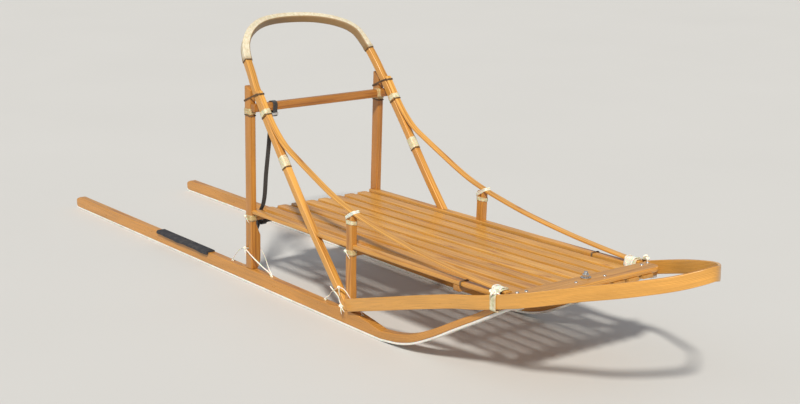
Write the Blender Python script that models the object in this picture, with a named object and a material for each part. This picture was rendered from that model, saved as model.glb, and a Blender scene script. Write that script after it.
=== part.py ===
"""A wooden dog sled: two bent runners, four stanchions, a slatted bed, a driving bow and a brush bow.

+X points to the nose, +Y to the left, +Z up, and the runner shoes lie on Z = 0. Stations along the sled
are measured forward from a datum 50 mm behind the runner tails.
"""

import math

import bmesh
import bpy
import numpy as np
from mathutils import Vector

MIDDLE_STATION = 1.725  # the sled's middle, which is the model's origin
SIDES = {"right": -1, "left": 1}
GAP = 0.0004  # between pieces that touch
WRAP_REACH = 0.15  # a lashing holds only what passes this near
UP = Vector((0, 0, 1))
ACROSS = Vector((0, 1, 0))
ALONG = Vector((1, 0, 0))

GAUGE = 0.54  # between the runners' centre lines
RUNNER_WIDTH = 0.031
SHOE_THICKNESS = 0.007
TAIL = 0.050
NOSE = 3.400
RUNNER_TIP = 2.925

STANCHION_OUTER = 0.285
STANCHION_FOOT = 0.0560  # just above the bosses on the runners
LEAN = 0.035
TENON = 0.012

BOW_WIDTH = 0.024
BOW_DEPTH = 0.026
BOW_LEAN = Vector((0.5, 0, 0.866))  # the way the grip's face looks
SCARF = 0.045
GRIP_SEAM = 0.812

SLAT_COUNT = 8
SLAT_PITCH = 0.0587
SLAT_WIDTH = 0.042
SLAT_THICKNESS = 0.011
SLAT_REAR = 1.474
SLAT_FRONT = 2.960
BED_RISE = [(1.40, 0.2715), (1.80, 0.276), (2.20, 0.282), (2.60, 0.2885), (2.835, 0.2945), (3.00, 0.2995)]

RAIL_INNER = 0.2515
RAIL_OUTER = 0.2815
RAIL_THICKNESS = 0.013

BRUSH_HEIGHT = 0.043
BRUSH_THICKNESS = 0.009

HANDRAIL_WIDTH = 0.022
HANDRAIL_THICKNESS = 0.009

CROSSBAR_LOW = Vector((1.5105, -0.288, 0.634))
CROSSBAR_HIGH = Vector((1.5350, 0.288, 0.662))

BRAKE_PIVOT = Vector((2.0895, 0, 0.2135))
BRAKE_PIN_RADIUS = 0.0040
BRAKE_RISE = 0.0205  # of the board towards the tail, per metre
BOARD_HALF_WIDTH = 0.0450
BOARD_THICKNESS = 0.016

SCREW_STATION = 2.900
SCREW_OUT = 0.262
BOLT_STATION = 2.905

COLOURS = {
    "varnished_wood": ((0.62, 0.30, 0.09), 0.35, 0.0),
    "shoe_plastic": ((0.80, 0.81, 0.78), 0.45, 0.0),
    "pad_rubber": ((0.055, 0.055, 0.060), 0.85, 0.0),
    "grip_rawhide": ((0.62, 0.55, 0.45), 0.75, 0.0),
    "lash_rawhide": ((0.55, 0.44, 0.25), 0.60, 0.0),
    "white_rawhide": ((0.80, 0.76, 0.66), 0.70, 0.0),
    "zinc_steel": ((0.60, 0.60, 0.60), 0.35, 1.0),
    "black_steel": ((0.03, 0.03, 0.032), 0.40, 0.9),
    "black_webbing": ((0.02, 0.02, 0.022), 0.80, 0.0),
}


def clear_scene():
    for old in list(bpy.data.objects):
        bpy.data.objects.remove(old)


def make_material(name):
    colour, roughness, metallic = COLOURS[name]
    material = bpy.data.materials.new(name)
    material.use_nodes = True
    shader = material.node_tree.nodes["Principled BSDF"]
    shader.inputs["Base Color"].default_value = (*colour, 1)
    shader.inputs["Roughness"].default_value = roughness
    shader.inputs["Metallic"].default_value = metallic
    material.diffuse_color = (*colour, 1)
    return material


def at(station, y, z):
    return Vector((station - MIDDLE_STATION, y, z))


def bed_top(station):
    stations, heights = zip(*BED_RISE)
    return float(np.interp(station, stations, heights))


def bed_bottom(station):
    return bed_top(station) - SLAT_THICKNESS


def spline(points, steps):
    """A smooth curve through the points, with that many steps in each span."""
    points = [Vector(p) for p in points]
    chords = [(b - a).length for a, b in zip(points, points[1:])]
    slopes = [(b - a) / c for a, b, c in zip(points, points[1:], chords)]
    tangents = [slopes[0]]
    for before, after, near, far in zip(slopes, slopes[1:], chords, chords[1:]):
        tangents.append((before * far + after * near) / (near + far))
    tangents.append(slopes[-1])
    curve = [points[0]]
    for i, chord in enumerate(chords):
        for step in range(1, steps + 1):
            t = step / steps
            curve.append(
                points[i] * (2 * t**3 - 3 * t**2 + 1)
                + tangents[i] * chord * (t**3 - 2 * t**2 + t)
                + points[i + 1] * (3 * t**2 - 2 * t**3)
                + tangents[i + 1] * chord * (t**3 - t**2)
            )
    return curve


def tangent_at(path, i):
    return (path[min(i + 1, len(path) - 1)] - path[max(i - 1, 0)]).normalized()


def swept_rings(path, section, towards):
    """A ring of points round each point of the path; a section's second number runs towards that way."""
    rings = []
    for i, point in enumerate(path):
        tangent = tangent_at(path, i)
        rise = (towards - tangent * towards.dot(tangent)).normalized()
        side = rise.cross(tangent)
        rings.append([point + side * a + rise * b for a, b in section])
    return rings


def rectangle(side_low, side_high, rise_low, rise_high):
    return [(side_low, rise_low), (side_high, rise_low), (side_high, rise_high), (side_low, rise_high)]


def add_mesh(name, bm, colour):
    """An object of the mesh, with its origin at the middle of the mesh's box."""
    bmesh.ops.recalc_face_normals(bm, faces=bm.faces)
    corners = np.array([v.co for v in bm.verts])
    middle = Vector((corners.min(0) + corners.max(0)) / 2)
    bmesh.ops.translate(bm, verts=bm.verts, vec=-middle)
    mesh = bpy.data.meshes.new(name)
    bm.to_mesh(mesh)
    bm.free()
    mesh.shade_smooth()
    mesh.set_sharp_from_angle(angle=math.radians(35))
    obj = bpy.data.objects.new(name, mesh)
    obj.location = middle
    bpy.context.scene.collection.objects.link(obj)
    mesh.materials.append(MATERIALS[colour])
    return obj


def loft(name, rings, colour, round_edges=0.0, looped=False):
    """A solid through rings of points; looped joins the last ring to the first."""
    bm = bmesh.new()
    verts = [[bm.verts.new(p) for p in ring] for ring in rings]
    count = len(rings[0])
    for near, far in zip(verts, verts[1:] + verts[:1] if looped else verts[1:]):
        for k in range(count):
            bm.faces.new((near[k], near[(k + 1) % count], far[(k + 1) % count], far[k]))
    if not looped:
        bm.faces.new(verts[0])
        bm.faces.new(verts[-1])
    obj = add_mesh(name, bm, colour)
    if round_edges:
        bevel = obj.modifiers.new("round_edges", "BEVEL")
        bevel.width = round_edges
        bevel.segments = 1
        bevel.limit_method = "ANGLE"
        bevel.angle_limit = math.radians(40)
    return obj


def prism(name, outline, y_low, y_high, colour, round_edges=0.0):
    """A side outline of (station, height) points, carried across the sled."""
    rings = [[at(s, y, z) for s, z in outline] for y in (y_low, y_high)]
    return loft(name, rings, colour, round_edges)


def bar(name, low, high, colour, round_edges=0.0):
    rings = [
        [at(s, y, z) for y, z in ((low.y, low.z), (high.y, low.z), (high.y, high.z), (low.y, high.z))]
        for s in (low.x, high.x)
    ]
    return loft(name, rings, colour, round_edges)


def rod(name, start, end, radius, sides, colour):
    axis = (end - start).normalized()
    first = axis.orthogonal().normalized()
    second = axis.cross(first)
    turns = [2 * math.pi * k / sides for k in range(sides)]
    circle = [(radius * math.cos(a), radius * math.sin(a)) for a in turns]
    rings = [[end_point + first * a + second * b for a, b in circle] for end_point in (start, end)]
    return loft(name, rings, colour)


def as_tool(obj):
    obj.hide_render = True
    obj.display_type = "WIRE"
    return obj


def change(obj, tool, operation="DIFFERENCE"):
    modifier = obj.modifiers.new(operation.lower(), "BOOLEAN")
    modifier.operation = operation
    modifier.solver = "EXACT"
    modifier.object = as_tool(tool)


def cord(name, points, radius, colour, resolution=2):
    curve = bpy.data.curves.new(name, "CURVE")
    curve.dimensions = "3D"
    curve.bevel_depth = radius
    curve.bevel_resolution = resolution
    curve.use_fill_caps = True
    line = curve.splines.new("POLY")
    line.points.add(len(points) - 1)
    for place, point in zip(line.points, points):
        place.co = (*(point - points[0]), 1)
    curve.materials.append(MATERIALS[colour])
    obj = bpy.data.objects.new(name, curve)
    obj.location = points[0]
    bpy.context.scene.collection.objects.link(obj)
    return obj


def slab_section(obj, centre, axis, half):
    """The points where the object's edges lie inside, or cross the faces of, a slab across the axis."""
    verts = [v.co + obj.location - centre for v in obj.data.vertices]
    found = [v for v in verts if abs(v.dot(axis)) <= half]
    for edge in obj.data.edges:
        a, b = (verts[k] for k in edge.vertices)
        for level in (-half, half):
            low, high = a.dot(axis) - level, b.dot(axis) - level
            if low * high < 0:
                found.append(a + (b - a) * (low / (low - high)))
    return [v for v in found if v.length < WRAP_REACH]


def convex_outline(points):
    """The corners of the flat points' hull, anticlockwise, without the ones a straight run could spare."""
    points = sorted({(round(a, 5), round(b, 5)) for a, b in points})
    halves = []
    for run in (points, points[::-1]):
        chain = []
        for p in run:
            while len(chain) > 1 and turn(chain[-2], chain[-1], p) <= 0:
                chain.pop()
            chain.append(p)
        halves += chain[:-1]
    corners = []
    for i, p in enumerate(halves):
        before, after = halves[i - 1], halves[(i + 1) % len(halves)]
        if turn(before, p, after) > 2e-8:
            corners.append(p)
    return corners


def turn(a, b, c):
    return (b[0] - a[0]) * (c[1] - a[1]) - (b[1] - a[1]) * (c[0] - a[0])


def wrap(name, members, centre, axis, length, thickness, colour):
    """A band wound round the members where they pass the centre, across the axis."""
    axis = axis.normalized()
    first = axis.orthogonal().normalized()
    second = axis.cross(first)
    found = [p for m in members for p in slab_section(m, centre, axis, length / 2 + GAP)]
    corners = convex_outline([(p.dot(first), p.dot(second)) for p in found])
    rings = []
    for i, corner in enumerate(corners):
        before, after = corners[i - 1], corners[(i + 1) % len(corners)]
        start = math.atan2(before[0] - corner[0], corner[1] - before[1])
        sweep = (math.atan2(corner[0] - after[0], after[1] - corner[1]) - start) % (2 * math.pi)
        for step in range(3):
            angle = start + sweep * step / 2
            out = first * math.cos(angle) + second * math.sin(angle)
            root = centre + first * corner[0] + second * corner[1]
            near, far = root + out * GAP * 1.5, root + out * (GAP * 1.5 + thickness)
            half = axis * length / 2
            rings.append([near - half, near + half, far + half, far - half])
    return loft(name, rings, colour, looped=True)


def mirrored(points, side):
    return [Vector((p.x, p.y * side, p.z)) for p in points]


# --- runners -------------------------------------------------------------------------------------

SHOE_LINE = [
    (TAIL, 0.0060), (0.070, 0.0), (0.60, 0.0), (1.10, 0.0), (1.60, 0.0), (2.20, 0.0), (2.27, 0.0005),
    (2.377, 0.0160), (2.430, 0.0310), (2.530, 0.0740), (2.651, 0.1370), (2.766, 0.1960),
    (2.833, 0.2325), (2.870, 0.2515), (2.900, 0.2645), (RUNNER_TIP, 0.2690),
]
RUNNER_HEIGHT = [
    (TAIL, 0.034), (0.058, 0.043), (0.075, 0.050), (1.390, 0.050), (1.430, 0.0555), (1.530, 0.0555),
    (1.630, 0.050), (1.990, 0.050), (2.030, 0.0555), (2.140, 0.0555), (2.205, 0.0455), (2.270, 0.034),
    (2.377, 0.0345), (2.480, 0.0320), (2.600, 0.0290), (2.800, 0.0265), (2.870, 0.0290),
    (2.900, 0.0290), (RUNNER_TIP, 0.0260),
]
HOLE_STATIONS = {"rear": (1.331, 1.598), "front": (1.935, 2.152)}


def runner_line():
    bend = [at(s, 0, z) for s, z in SHOE_LINE[6:]]
    flat = [at(s, 0, z) for s, z in SHOE_LINE[:6]]
    extra = [at(s, 0, 0) for s, _ in RUNNER_HEIGHT[1:11]]
    straight = sorted(flat + extra, key=lambda p: p.x)
    return straight + spline(bend, 2)


def runner_rings(side, low, high):
    """Rings from the first height above the shoe line to the second, each a function of the station."""
    path = runner_line()
    rings = []
    for i, point in enumerate(path):
        tangent = tangent_at(path, i)
        rise = UP if point.x < 2.2 - MIDDLE_STATION else Vector((-tangent.z, 0, tangent.x))
        station = point.x + MIDDLE_STATION
        bottom, top = point + rise * low(station), point + rise * high(station)
        near = Vector((0, side * GAUGE / 2 - RUNNER_WIDTH / 2, 0))
        far = near + ACROSS * RUNNER_WIDTH
        rings.append([bottom + near, bottom + far, top + far, top + near])
    return rings


def runner_height(station):
    stations, heights = zip(*RUNNER_HEIGHT)
    return float(np.interp(station, stations, heights))


def thong_hole(name, station, y):
    return rod(name, at(station, y, 0.030), at(station, y, 0.070), 0.0030, 12, "varnished_wood")


def make_runner(word, side):
    wood = runner_rings(side, lambda s: SHOE_THICKNESS + GAP, runner_height)
    runner = loft(f"runner_{word}", wood, "varnished_wood", 0.0025)
    shoe = runner_rings(side, lambda s: 0.0, lambda s: SHOE_THICKNESS)
    sole = loft(f"runner_shoe_{word}", shoe, "shoe_plastic", 0.0015)
    for place in ("rear", "front"):
        middle = {"rear": 1.466, "front": 2.088}[place]
        y = side * GAUGE / 2
        reach = TENON / 2 + GAP
        low = Vector((middle - reach, y - reach, 0.0300))
        high = Vector((middle + reach, y + reach, 0.0700))
        change(runner, bar(f"mortise_{place}_{word}", low, high, "varnished_wood"))
        for k, station in enumerate(HOLE_STATIONS[place]):
            change(runner, thong_hole(f"thong_hole_{place}_{k}_{word}", station, y))
    return runner, sole


def make_footpad(word, side):
    outline = [(0.2575, 0.0505), (0.2868, 0.0505), (0.2875, 0.0440), (0.2960, 0.0430), (0.2985, 0.0500)]
    outline += [(0.2965, 0.0560), (0.2910, 0.0585), (0.2600, 0.0575)]
    rings = [[at(s, side * y, z) for y, z in outline] for s in (0.794, 1.180)]
    loft(f"footpad_{word}", rings, "pad_rubber", 0.0008)


# --- stanchions ----------------------------------------------------------------------------------


def stanchion_rings(side, rear, depth, levels, grow=0.0):
    """levels holds (height, inner face, outer face) from the foot to the top."""
    rings = []
    for z, inner, outer in levels:
        back = rear + LEAN * (z - STANCHION_FOOT) - grow
        front = back + depth + 2 * grow
        inner, outer = side * (inner - grow), side * (outer + grow)
        rings.append([at(back, inner, z), at(front, inner, z), at(front, outer, z), at(back, outer, z)])
    return rings


REAR_STANCHION = {"rear": 1.4480, "depth": 0.038}
FRONT_STANCHION = {"rear": 2.0720, "depth": 0.033}
REAR_LEVELS = [
    (STANCHION_FOOT, 0.2555, STANCHION_OUTER), (0.085, 0.2450, STANCHION_OUTER),
    (0.178, 0.2450, STANCHION_OUTER), (0.222, 0.2625, STANCHION_OUTER),
    (0.300, 0.2625, STANCHION_OUTER), (0.706, 0.2660, 0.2885),
]
FRONT_LEVELS = [
    (STANCHION_FOOT, 0.2600, STANCHION_OUTER), (0.120, 0.2600, STANCHION_OUTER),
    (0.178, 0.2625, STANCHION_OUTER), (0.300, 0.2625, STANCHION_OUTER), (0.384, 0.2640, 0.2860),
]


def add_tenon(obj, name, station, side):
    y = side * GAUGE / 2
    low = Vector((station - TENON / 2, y - TENON / 2, 0.0320))
    high = Vector((station + TENON / 2, y + TENON / 2, 0.0800))
    change(obj, bar(name, low, high, "varnished_wood"), "UNION")


def thong_bore(name, station, z, side, radius=0.0045):
    return rod(name, at(station, side * 0.23, z), at(station, side * 0.31, z), radius, 12, "varnished_wood")


def crosspiece_mortise(name, box, side):
    reach = Vector((GAP, GAP, GAP))
    low, high = box
    low = Vector((low.x, min(side * 0.25, side * 0.2747), low.z)) - reach
    high = Vector((high.x, max(side * 0.25, side * 0.2747), high.z)) + reach
    return bar(name, low, high, "varnished_wood")


REAR_CROSSPIECE = (Vector((1.4585, 0, 0.2350)), Vector((1.4895, 0, bed_bottom(1.474) - GAP)))
FRONT_CROSSPIECE = (Vector((2.0795, 0, 0.2430)), Vector((2.1090, 0, bed_bottom(2.080) - GAP)))
NOSE_CROSSPIECE = (Vector((2.6320, 0, 0.2580)), Vector((2.6600, 0, bed_bottom(2.632) - GAP)))


def tongue(box):
    """The box of a crosspiece's end tongue: shallower than the crosspiece itself."""
    low, high = box
    return Vector((low.x + 0.008, 0, low.z + 0.006)), Vector((high.x - 0.008, 0, high.z - 0.006))


def make_rear_stanchion(word, side):
    rings = stanchion_rings(side, levels=REAR_LEVELS, **REAR_STANCHION)
    front_low, back_high = 0.708, 0.722
    for k, z in enumerate((back_high, front_low, front_low, back_high)):
        rings[-1][k].z = z
    obj = loft(f"rear_stanchion_{word}", rings, "varnished_wood", 0.0025)
    add_tenon(obj, f"rear_tenon_{word}", 1.466, side)
    change(obj, thong_bore(f"rear_thong_bore_{word}", 1.467, 0.131, side))
    change(obj, crosspiece_mortise(f"rear_mortise_{word}", tongue(REAR_CROSSPIECE), side))
    return obj


def make_front_stanchion(word, side):
    rings = stanchion_rings(side, levels=FRONT_LEVELS, **FRONT_STANCHION)
    obj = loft(f"front_stanchion_{word}", rings, "varnished_wood", 0.0025)
    add_tenon(obj, f"front_tenon_{word}", 2.088, side)
    change(obj, thong_bore(f"front_top_bore_{word}", 2.098, 0.366, side, 0.0030))
    change(obj, crosspiece_mortise(f"front_mortise_{word}", tongue(FRONT_CROSSPIECE), side))
    change(obj, lap_tool(f"stanchion_lap_{word}", side, 0.2740 - GAP / 2, 0.2950, GAP))
    return obj


def make_crosspiece(name, box, half_length, tongue_length=0.0):
    low, high = (corner.copy() for corner in box)
    low.y, high.y = -half_length, half_length
    obj = bar(name, low, high, "varnished_wood", 0.0020 if not tongue_length else 0.0)
    if tongue_length:
        low, high = tongue(box)
        low.y, high.y = -half_length - tongue_length, half_length + tongue_length
        change(obj, bar(f"{name}_tongues", low, high, "varnished_wood"), "UNION")
    return obj


# --- driving bow and braces ----------------------------------------------------------------------

BOW_LEG = [
    (1.7200, 0.2875, 0.4870), (1.6760, 0.2875, 0.5420), (1.6110, 0.2870, 0.6215), (1.5500, 0.2855, 0.6990),
    (1.5290, 0.2840, 0.7230), (1.4940, 0.2790, 0.7710), (1.4550, 0.2730, 0.8180),
]
BOW_ARCH = [
    (1.4370, 0.2675, 0.8400), (1.4220, 0.2600, 0.8600), (1.4090, 0.2490, 0.8780), (1.3900, 0.2280, 0.8970),
    (1.3580, 0.1870, 0.9165), (1.3220, 0.1270, 0.9305), (1.2970, 0.0600, 0.9360), (1.2890, 0.0, 0.9370),
]
BRACE_LINE = [
    (1.7200, 0.2875, 0.4870), (1.7560, 0.2875, 0.4425), (1.8250, 0.2875, 0.3590), (1.8860, 0.2875, 0.2890),
    (1.9840, 0.2875, 0.1815), (2.0990, 0.2875, 0.0560),
]
BOW_SECTION = rectangle(-BOW_WIDTH, 0.0, -BOW_DEPTH, 0.0)


def bow_path():
    half = [at(s, -y, z) for s, y, z in BOW_LEG + BOW_ARCH]
    return spline(half + mirrored(half[-2::-1], -1), 2)


def slant(ring, shift_deep, shift_face):
    """Slides the ring's deep corners and its face corners along the piece, for a scarf."""
    deep, face = ring[:2], ring[2:]
    return [p + shift_deep for p in deep] + [p + shift_face for p in face]


def make_driving_bow():
    path = bow_path()
    rings = swept_rings(path, BOW_SECTION, BOW_LEAN)
    for end in (0, -1):
        away = (path[end] - path[end + 1 if end == 0 else end - 1]).normalized()
        rings[end] = slant(rings[end], away * SCARF, -away * SCARF)
    drop = (1, 2)
    rings = [r for i, r in enumerate(rings) if i not in drop and len(rings) - 1 - i not in drop]
    return loft("driving_bow", rings, "varnished_wood", 0.0030)


def brace_path(side):
    return spline([at(s, side * y, z) for s, y, z in BRACE_LINE], 3)


def brace_rings(side, inner, outer, grow=0.0):
    """inner and outer are distances from the sled's middle; the foot is cut level."""
    path = brace_path(side)
    span = [(0.2875 - outer - grow), (0.2875 - inner + grow)]
    section = rectangle(-side * span[0], -side * span[1], -BOW_DEPTH - grow, grow)
    rings = swept_rings(path, section, UP)
    tangent = tangent_at(path, len(path) - 1)
    rings[-1] = [p + tangent * ((STANCHION_FOOT - grow - p.z) / tangent.z) for p in rings[-1]]
    return rings


def lap_tool(name, side, inner, outer, grow):
    """The brace's lower end between two distances from the sled's middle, to cut its lap with."""
    rings = brace_rings(side, inner, outer, grow)[-8:]
    return loft(name, rings, "varnished_wood")


def make_brace(word, side):
    rings = brace_rings(side, 0.2635, 0.2875)
    path = brace_path(side)
    away = (path[0] - path[1]).normalized()
    room = -away * 0.0016
    rings[0] = slant(rings[0], room - away * SCARF, room + away * SCARF)
    rings = [r for i, r in enumerate(rings) if i not in (1, 2)]
    brace = loft(f"diagonal_brace_{word}", rings, "varnished_wood", 0.0030)
    low = Vector((2.0660, min(side * 0.2500, side * 0.2740), 0.0300))
    high = Vector((2.1500, max(side * 0.2500, side * 0.2740), 0.1300))
    post = bar(f"brace_lap_{word}", low, high, "varnished_wood")
    change(brace, post)
    return brace


def make_grip():
    """A sleeve round the bow's bend, between its two seams."""
    path = bow_path()
    inside = [i for i, p in enumerate(path) if p.z > GRIP_SEAM]
    held = slice(inside[0], inside[-1] + 1)
    inner_section = rounded(rectangle(-BOW_WIDTH - GAP, GAP, -BOW_DEPTH - GAP, GAP), 0.0022)
    outer_section = rounded(rectangle(-BOW_WIDTH - 0.0018, 0.0018, -BOW_DEPTH - 0.0018, 0.0018), 0.0045)
    inner = swept_rings(path, inner_section, BOW_LEAN)[held]
    outer = swept_rings(path, outer_section, BOW_LEAN)[held]
    count = len(inner_section)
    rings = []
    for k in range(count):
        rings.append([ring[k] for ring in inner] + [ring[k] for ring in reversed(outer)])
    bm = bmesh.new()
    verts = [[bm.verts.new(p) for p in ring] for ring in rings]
    for near, far in zip(verts, verts[1:] + verts[:1]):
        for k in range(len(near)):
            follow = (k + 1) % len(near)
            bm.faces.new((near[k], near[follow], far[follow], far[k]))
    return add_mesh("grip_wrap", bm, "grip_rawhide")


def rounded(corners, radius, steps=1):
    """The rectangle's corners turned into arcs."""
    points = []
    for i, (x, y) in enumerate(corners):
        before, after = corners[i - 1], corners[(i + 1) % len(corners)]
        toward = [((n[0] > x) - (n[0] < x), (n[1] > y) - (n[1] < y)) for n in (before, after)]
        centre = (x + radius * (toward[0][0] + toward[1][0]), y + radius * (toward[0][1] + toward[1][1]))
        for step in range(steps + 1):
            angle = math.pi / 2 * step / steps
            to_before, to_after = math.cos(angle), math.sin(angle)
            points.append(
                (
                    centre[0] - radius * (toward[1][0] * to_before + toward[0][0] * to_after),
                    centre[1] - radius * (toward[1][1] * to_before + toward[0][1] * to_after),
                )
            )
    return points


# --- handrails, brush bow ------------------------------------------------------------------------

HANDRAIL_LINE = [
    (1.5520, 0.2760, 0.7135), (1.5720, 0.2760, 0.6885), (1.5970, 0.2760, 0.6565), (1.6230, 0.2760, 0.6240),
    (1.6580, 0.2760, 0.5890), (1.7050, 0.2760, 0.5530), (1.7890, 0.2760, 0.5135), (1.8730, 0.2760, 0.4780),
    (1.9580, 0.2757, 0.4430), (2.0300, 0.2753, 0.4170), (2.1040, 0.2750, 0.3970), (2.2020, 0.2748, 0.3765),
    (2.3050, 0.2740, 0.3580), (2.4540, 0.2725, 0.3385), (2.6000, 0.2700, 0.3245), (2.7110, 0.2685, 0.3165),
    (2.7800, 0.2675, 0.3125), (2.8660, 0.2670, 0.3095),
]
BRUSH_LINE = [
    (2.0820, 0.2970, 0.0960), (2.1800, 0.3010, 0.1235), (2.3020, 0.3060, 0.1580), (2.5120, 0.3090, 0.2170),
    (2.6600, 0.3095, 0.2560), (2.7800, 0.3090, 0.2829), (2.8600, 0.3050, 0.3039), (2.9550, 0.2965, 0.3294),
    (3.1168, 0.2350, 0.3760), (3.2616, 0.1650, 0.4134), (3.3443, 0.0850, 0.4362), (NOSE, 0.0, 0.4600),
]


def make_handrail(word, side):
    path = spline([at(s, side * y, z) for s, y, z in HANDRAIL_LINE], 2)
    half = HANDRAIL_WIDTH / 2
    rings = swept_rings(path, rectangle(-half, half, -HANDRAIL_THICKNESS, 0.0), UP)
    return loft(f"handrail_{word}", rings, "varnished_wood", 0.0020)


def make_brush_bow():
    half = [at(s, -y, z) for s, y, z in BRUSH_LINE]
    path = spline(half + mirrored(half[-2::-1], -1), 2)
    rings = swept_rings(path, rectangle(0.0, BRUSH_THICKNESS, -BRUSH_HEIGHT, 0.0), UP)
    for end in (0, -1):
        away = (path[1] - path[0] if end == 0 else path[-2] - path[-1]).normalized()
        rings[end] = [p + away * 0.014 for p in rings[end][:2]] + rings[end][2:]
    return loft("brush_bow", rings, "varnished_wood", 0.0020)


# --- bed -----------------------------------------------------------------------------------------


def bed_path(start, end, y):
    stations = [start] + [s for s, _ in BED_RISE if start + 0.02 < s < end - 0.02] + [end]
    return spline([at(s, y, bed_top(s)) for s in stations], 2)


def make_slat(number):
    y = (number - (SLAT_COUNT + 1) / 2) * SLAT_PITCH
    radius = 0.012
    start = [SLAT_REAR + radius * (1 - math.sin(math.pi / 2 * k / 4)) for k in (4, 3, 2, 1)]
    cut = [radius * (1 - math.cos(math.pi / 2 * k / 4)) for k in (4, 3, 2, 1)]
    path = [at(s, y, bed_top(s)) for s in start] + bed_path(SLAT_REAR + radius, SLAT_FRONT, y)
    half = SLAT_WIDTH / 2
    rings = swept_rings(path, rectangle(-half, half, -SLAT_THICKNESS, 0.0), UP)
    for ring, back in zip(rings, cut):
        for p in ring:
            p.y = y + (p.y - y) * (half - back) / half
    return loft(f"bed_slat_{number}", rings, "varnished_wood", 0.0020)


def make_side_rail(word, side):
    path = bed_path(1.462, 2.862, 0)
    lift = RAIL_THICKNESS - SLAT_THICKNESS
    rings = [
        [
            p + Vector((0, side * y, z))
            for y, z in rectangle(RAIL_INNER, RAIL_OUTER, -SLAT_THICKNESS, lift)
        ]
        for p in path
    ]
    rail = loft(f"side_rail_{word}", rings, "varnished_wood", 0.0020)
    for place, shape, levels in (
        ("rear", REAR_STANCHION, REAR_LEVELS),
        ("front", FRONT_STANCHION, FRONT_LEVELS),
    ):
        tool = stanchion_rings(side, levels=levels, grow=GAP, **shape)
        change(rail, loft(f"rail_notch_{place}_{word}", tool, "varnished_wood"))
    brace = brace_rings(side, 0.2635, 0.2875, GAP)[3:]
    change(rail, loft(f"rail_notch_brace_{word}", brace, "varnished_wood"))
    return rail


def make_front_board():
    """A flat board with rounded ends, laid across the slats at the bed's slope."""
    rear, front, half_length = 2.880, 2.955, 0.272
    corner = 0.030
    outline = []
    for sign_s, sign_y in ((1, 1), (-1, 1), (-1, -1), (1, -1)):
        radius = corner if sign_s > 0 else 0.008
        s = (front if sign_s > 0 else rear) - sign_s * radius
        y = sign_y * (half_length - radius)
        steps = range(4) if sign_s * sign_y > 0 else range(3, -1, -1)
        for step in steps:
            angle = math.pi / 2 * step / 3
            outline.append((s + sign_s * radius * math.cos(angle), y + sign_y * radius * math.sin(angle)))
    rings = [[at(s, y, bed_top(s) + GAP + z) for s, y in outline] for z in (0.0, 0.0145)]
    board = loft("front_board", rings, "varnished_wood", 0.0020)
    drill(board, "bridle_hole", BOLT_STATION, 0, 0.0048, 24)
    for word, side in SIDES.items():
        drill(board, f"screw_hole_{word}", SCREW_STATION, side * SCREW_OUT, 0.0026, 16)


def drill(board, name, station, y, radius, sides):
    """A hole down through the front board."""
    centre = bed_top(BOLT_STATION)
    low, high = at(station, y, centre - 0.01), at(station, y, centre + 0.03)
    change(board, rod(name, low, high, radius, sides, "varnished_wood"))


def turned(name, place, profile, sides, colour):
    """A round piece on an upright axis, from (radius, height) points that start and end on the axis."""
    bm = bmesh.new()
    rows = []
    for radius, height in profile:
        if radius == 0:
            rows.append([bm.verts.new(place + UP * height)])
            continue
        turns = [2 * math.pi * k / sides for k in range(sides)]
        rows.append(
            [
                bm.verts.new(place + Vector((radius * math.cos(a), radius * math.sin(a), height)))
                for a in turns
            ]
        )
    for near, far in zip(rows, rows[1:]):
        for k in range(sides):
            follow = k + 1
            loop = [near[k % len(near)], near[follow % len(near)], far[follow % len(far)], far[k % len(far)]]
            bm.faces.new(list(dict.fromkeys(loop)))
    return add_mesh(name, bm, colour)


def make_fasteners(runners):
    top = bed_top(BOLT_STATION) + GAP + 0.0145 + 3 * GAP
    profile = [
        (0.0, -0.034), (0.0045, -0.034), (0.0045, 0.0), (0.0165, 0.0), (0.0165, 0.0022), (0.0115, 0.0024),
        (0.0115, 0.0110), (0.0090, 0.0128), (0.0062, 0.0130), (0.0060, 0.0175), (0.0040, 0.0190),
        (0.0, 0.0192),
    ]
    turned("bridle_bolt", at(BOLT_STATION, 0, top), profile, 24, "zinc_steel")
    top = bed_top(SCREW_STATION) + GAP + 0.0145 + GAP
    profile = [
        (0.0, -0.030), (0.0022, -0.028), (0.0022, 0.0), (0.0058, 0.0), (0.0056, 0.0012), (0.0040, 0.0026),
        (0.0, 0.0030),
    ]
    for word, side in SIDES.items():
        place = at(SCREW_STATION, side * SCREW_OUT, top)
        turned(f"board_screw_{word}", place, profile, 16, "zinc_steel")
        hole = rod(f"runner_screw_hole_{word}", place - UP * 0.034, place, 0.0026, 16, "varnished_wood")
        change(runners[word], hole)


# --- lashings ------------------------------------------------------------------------------------


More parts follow.
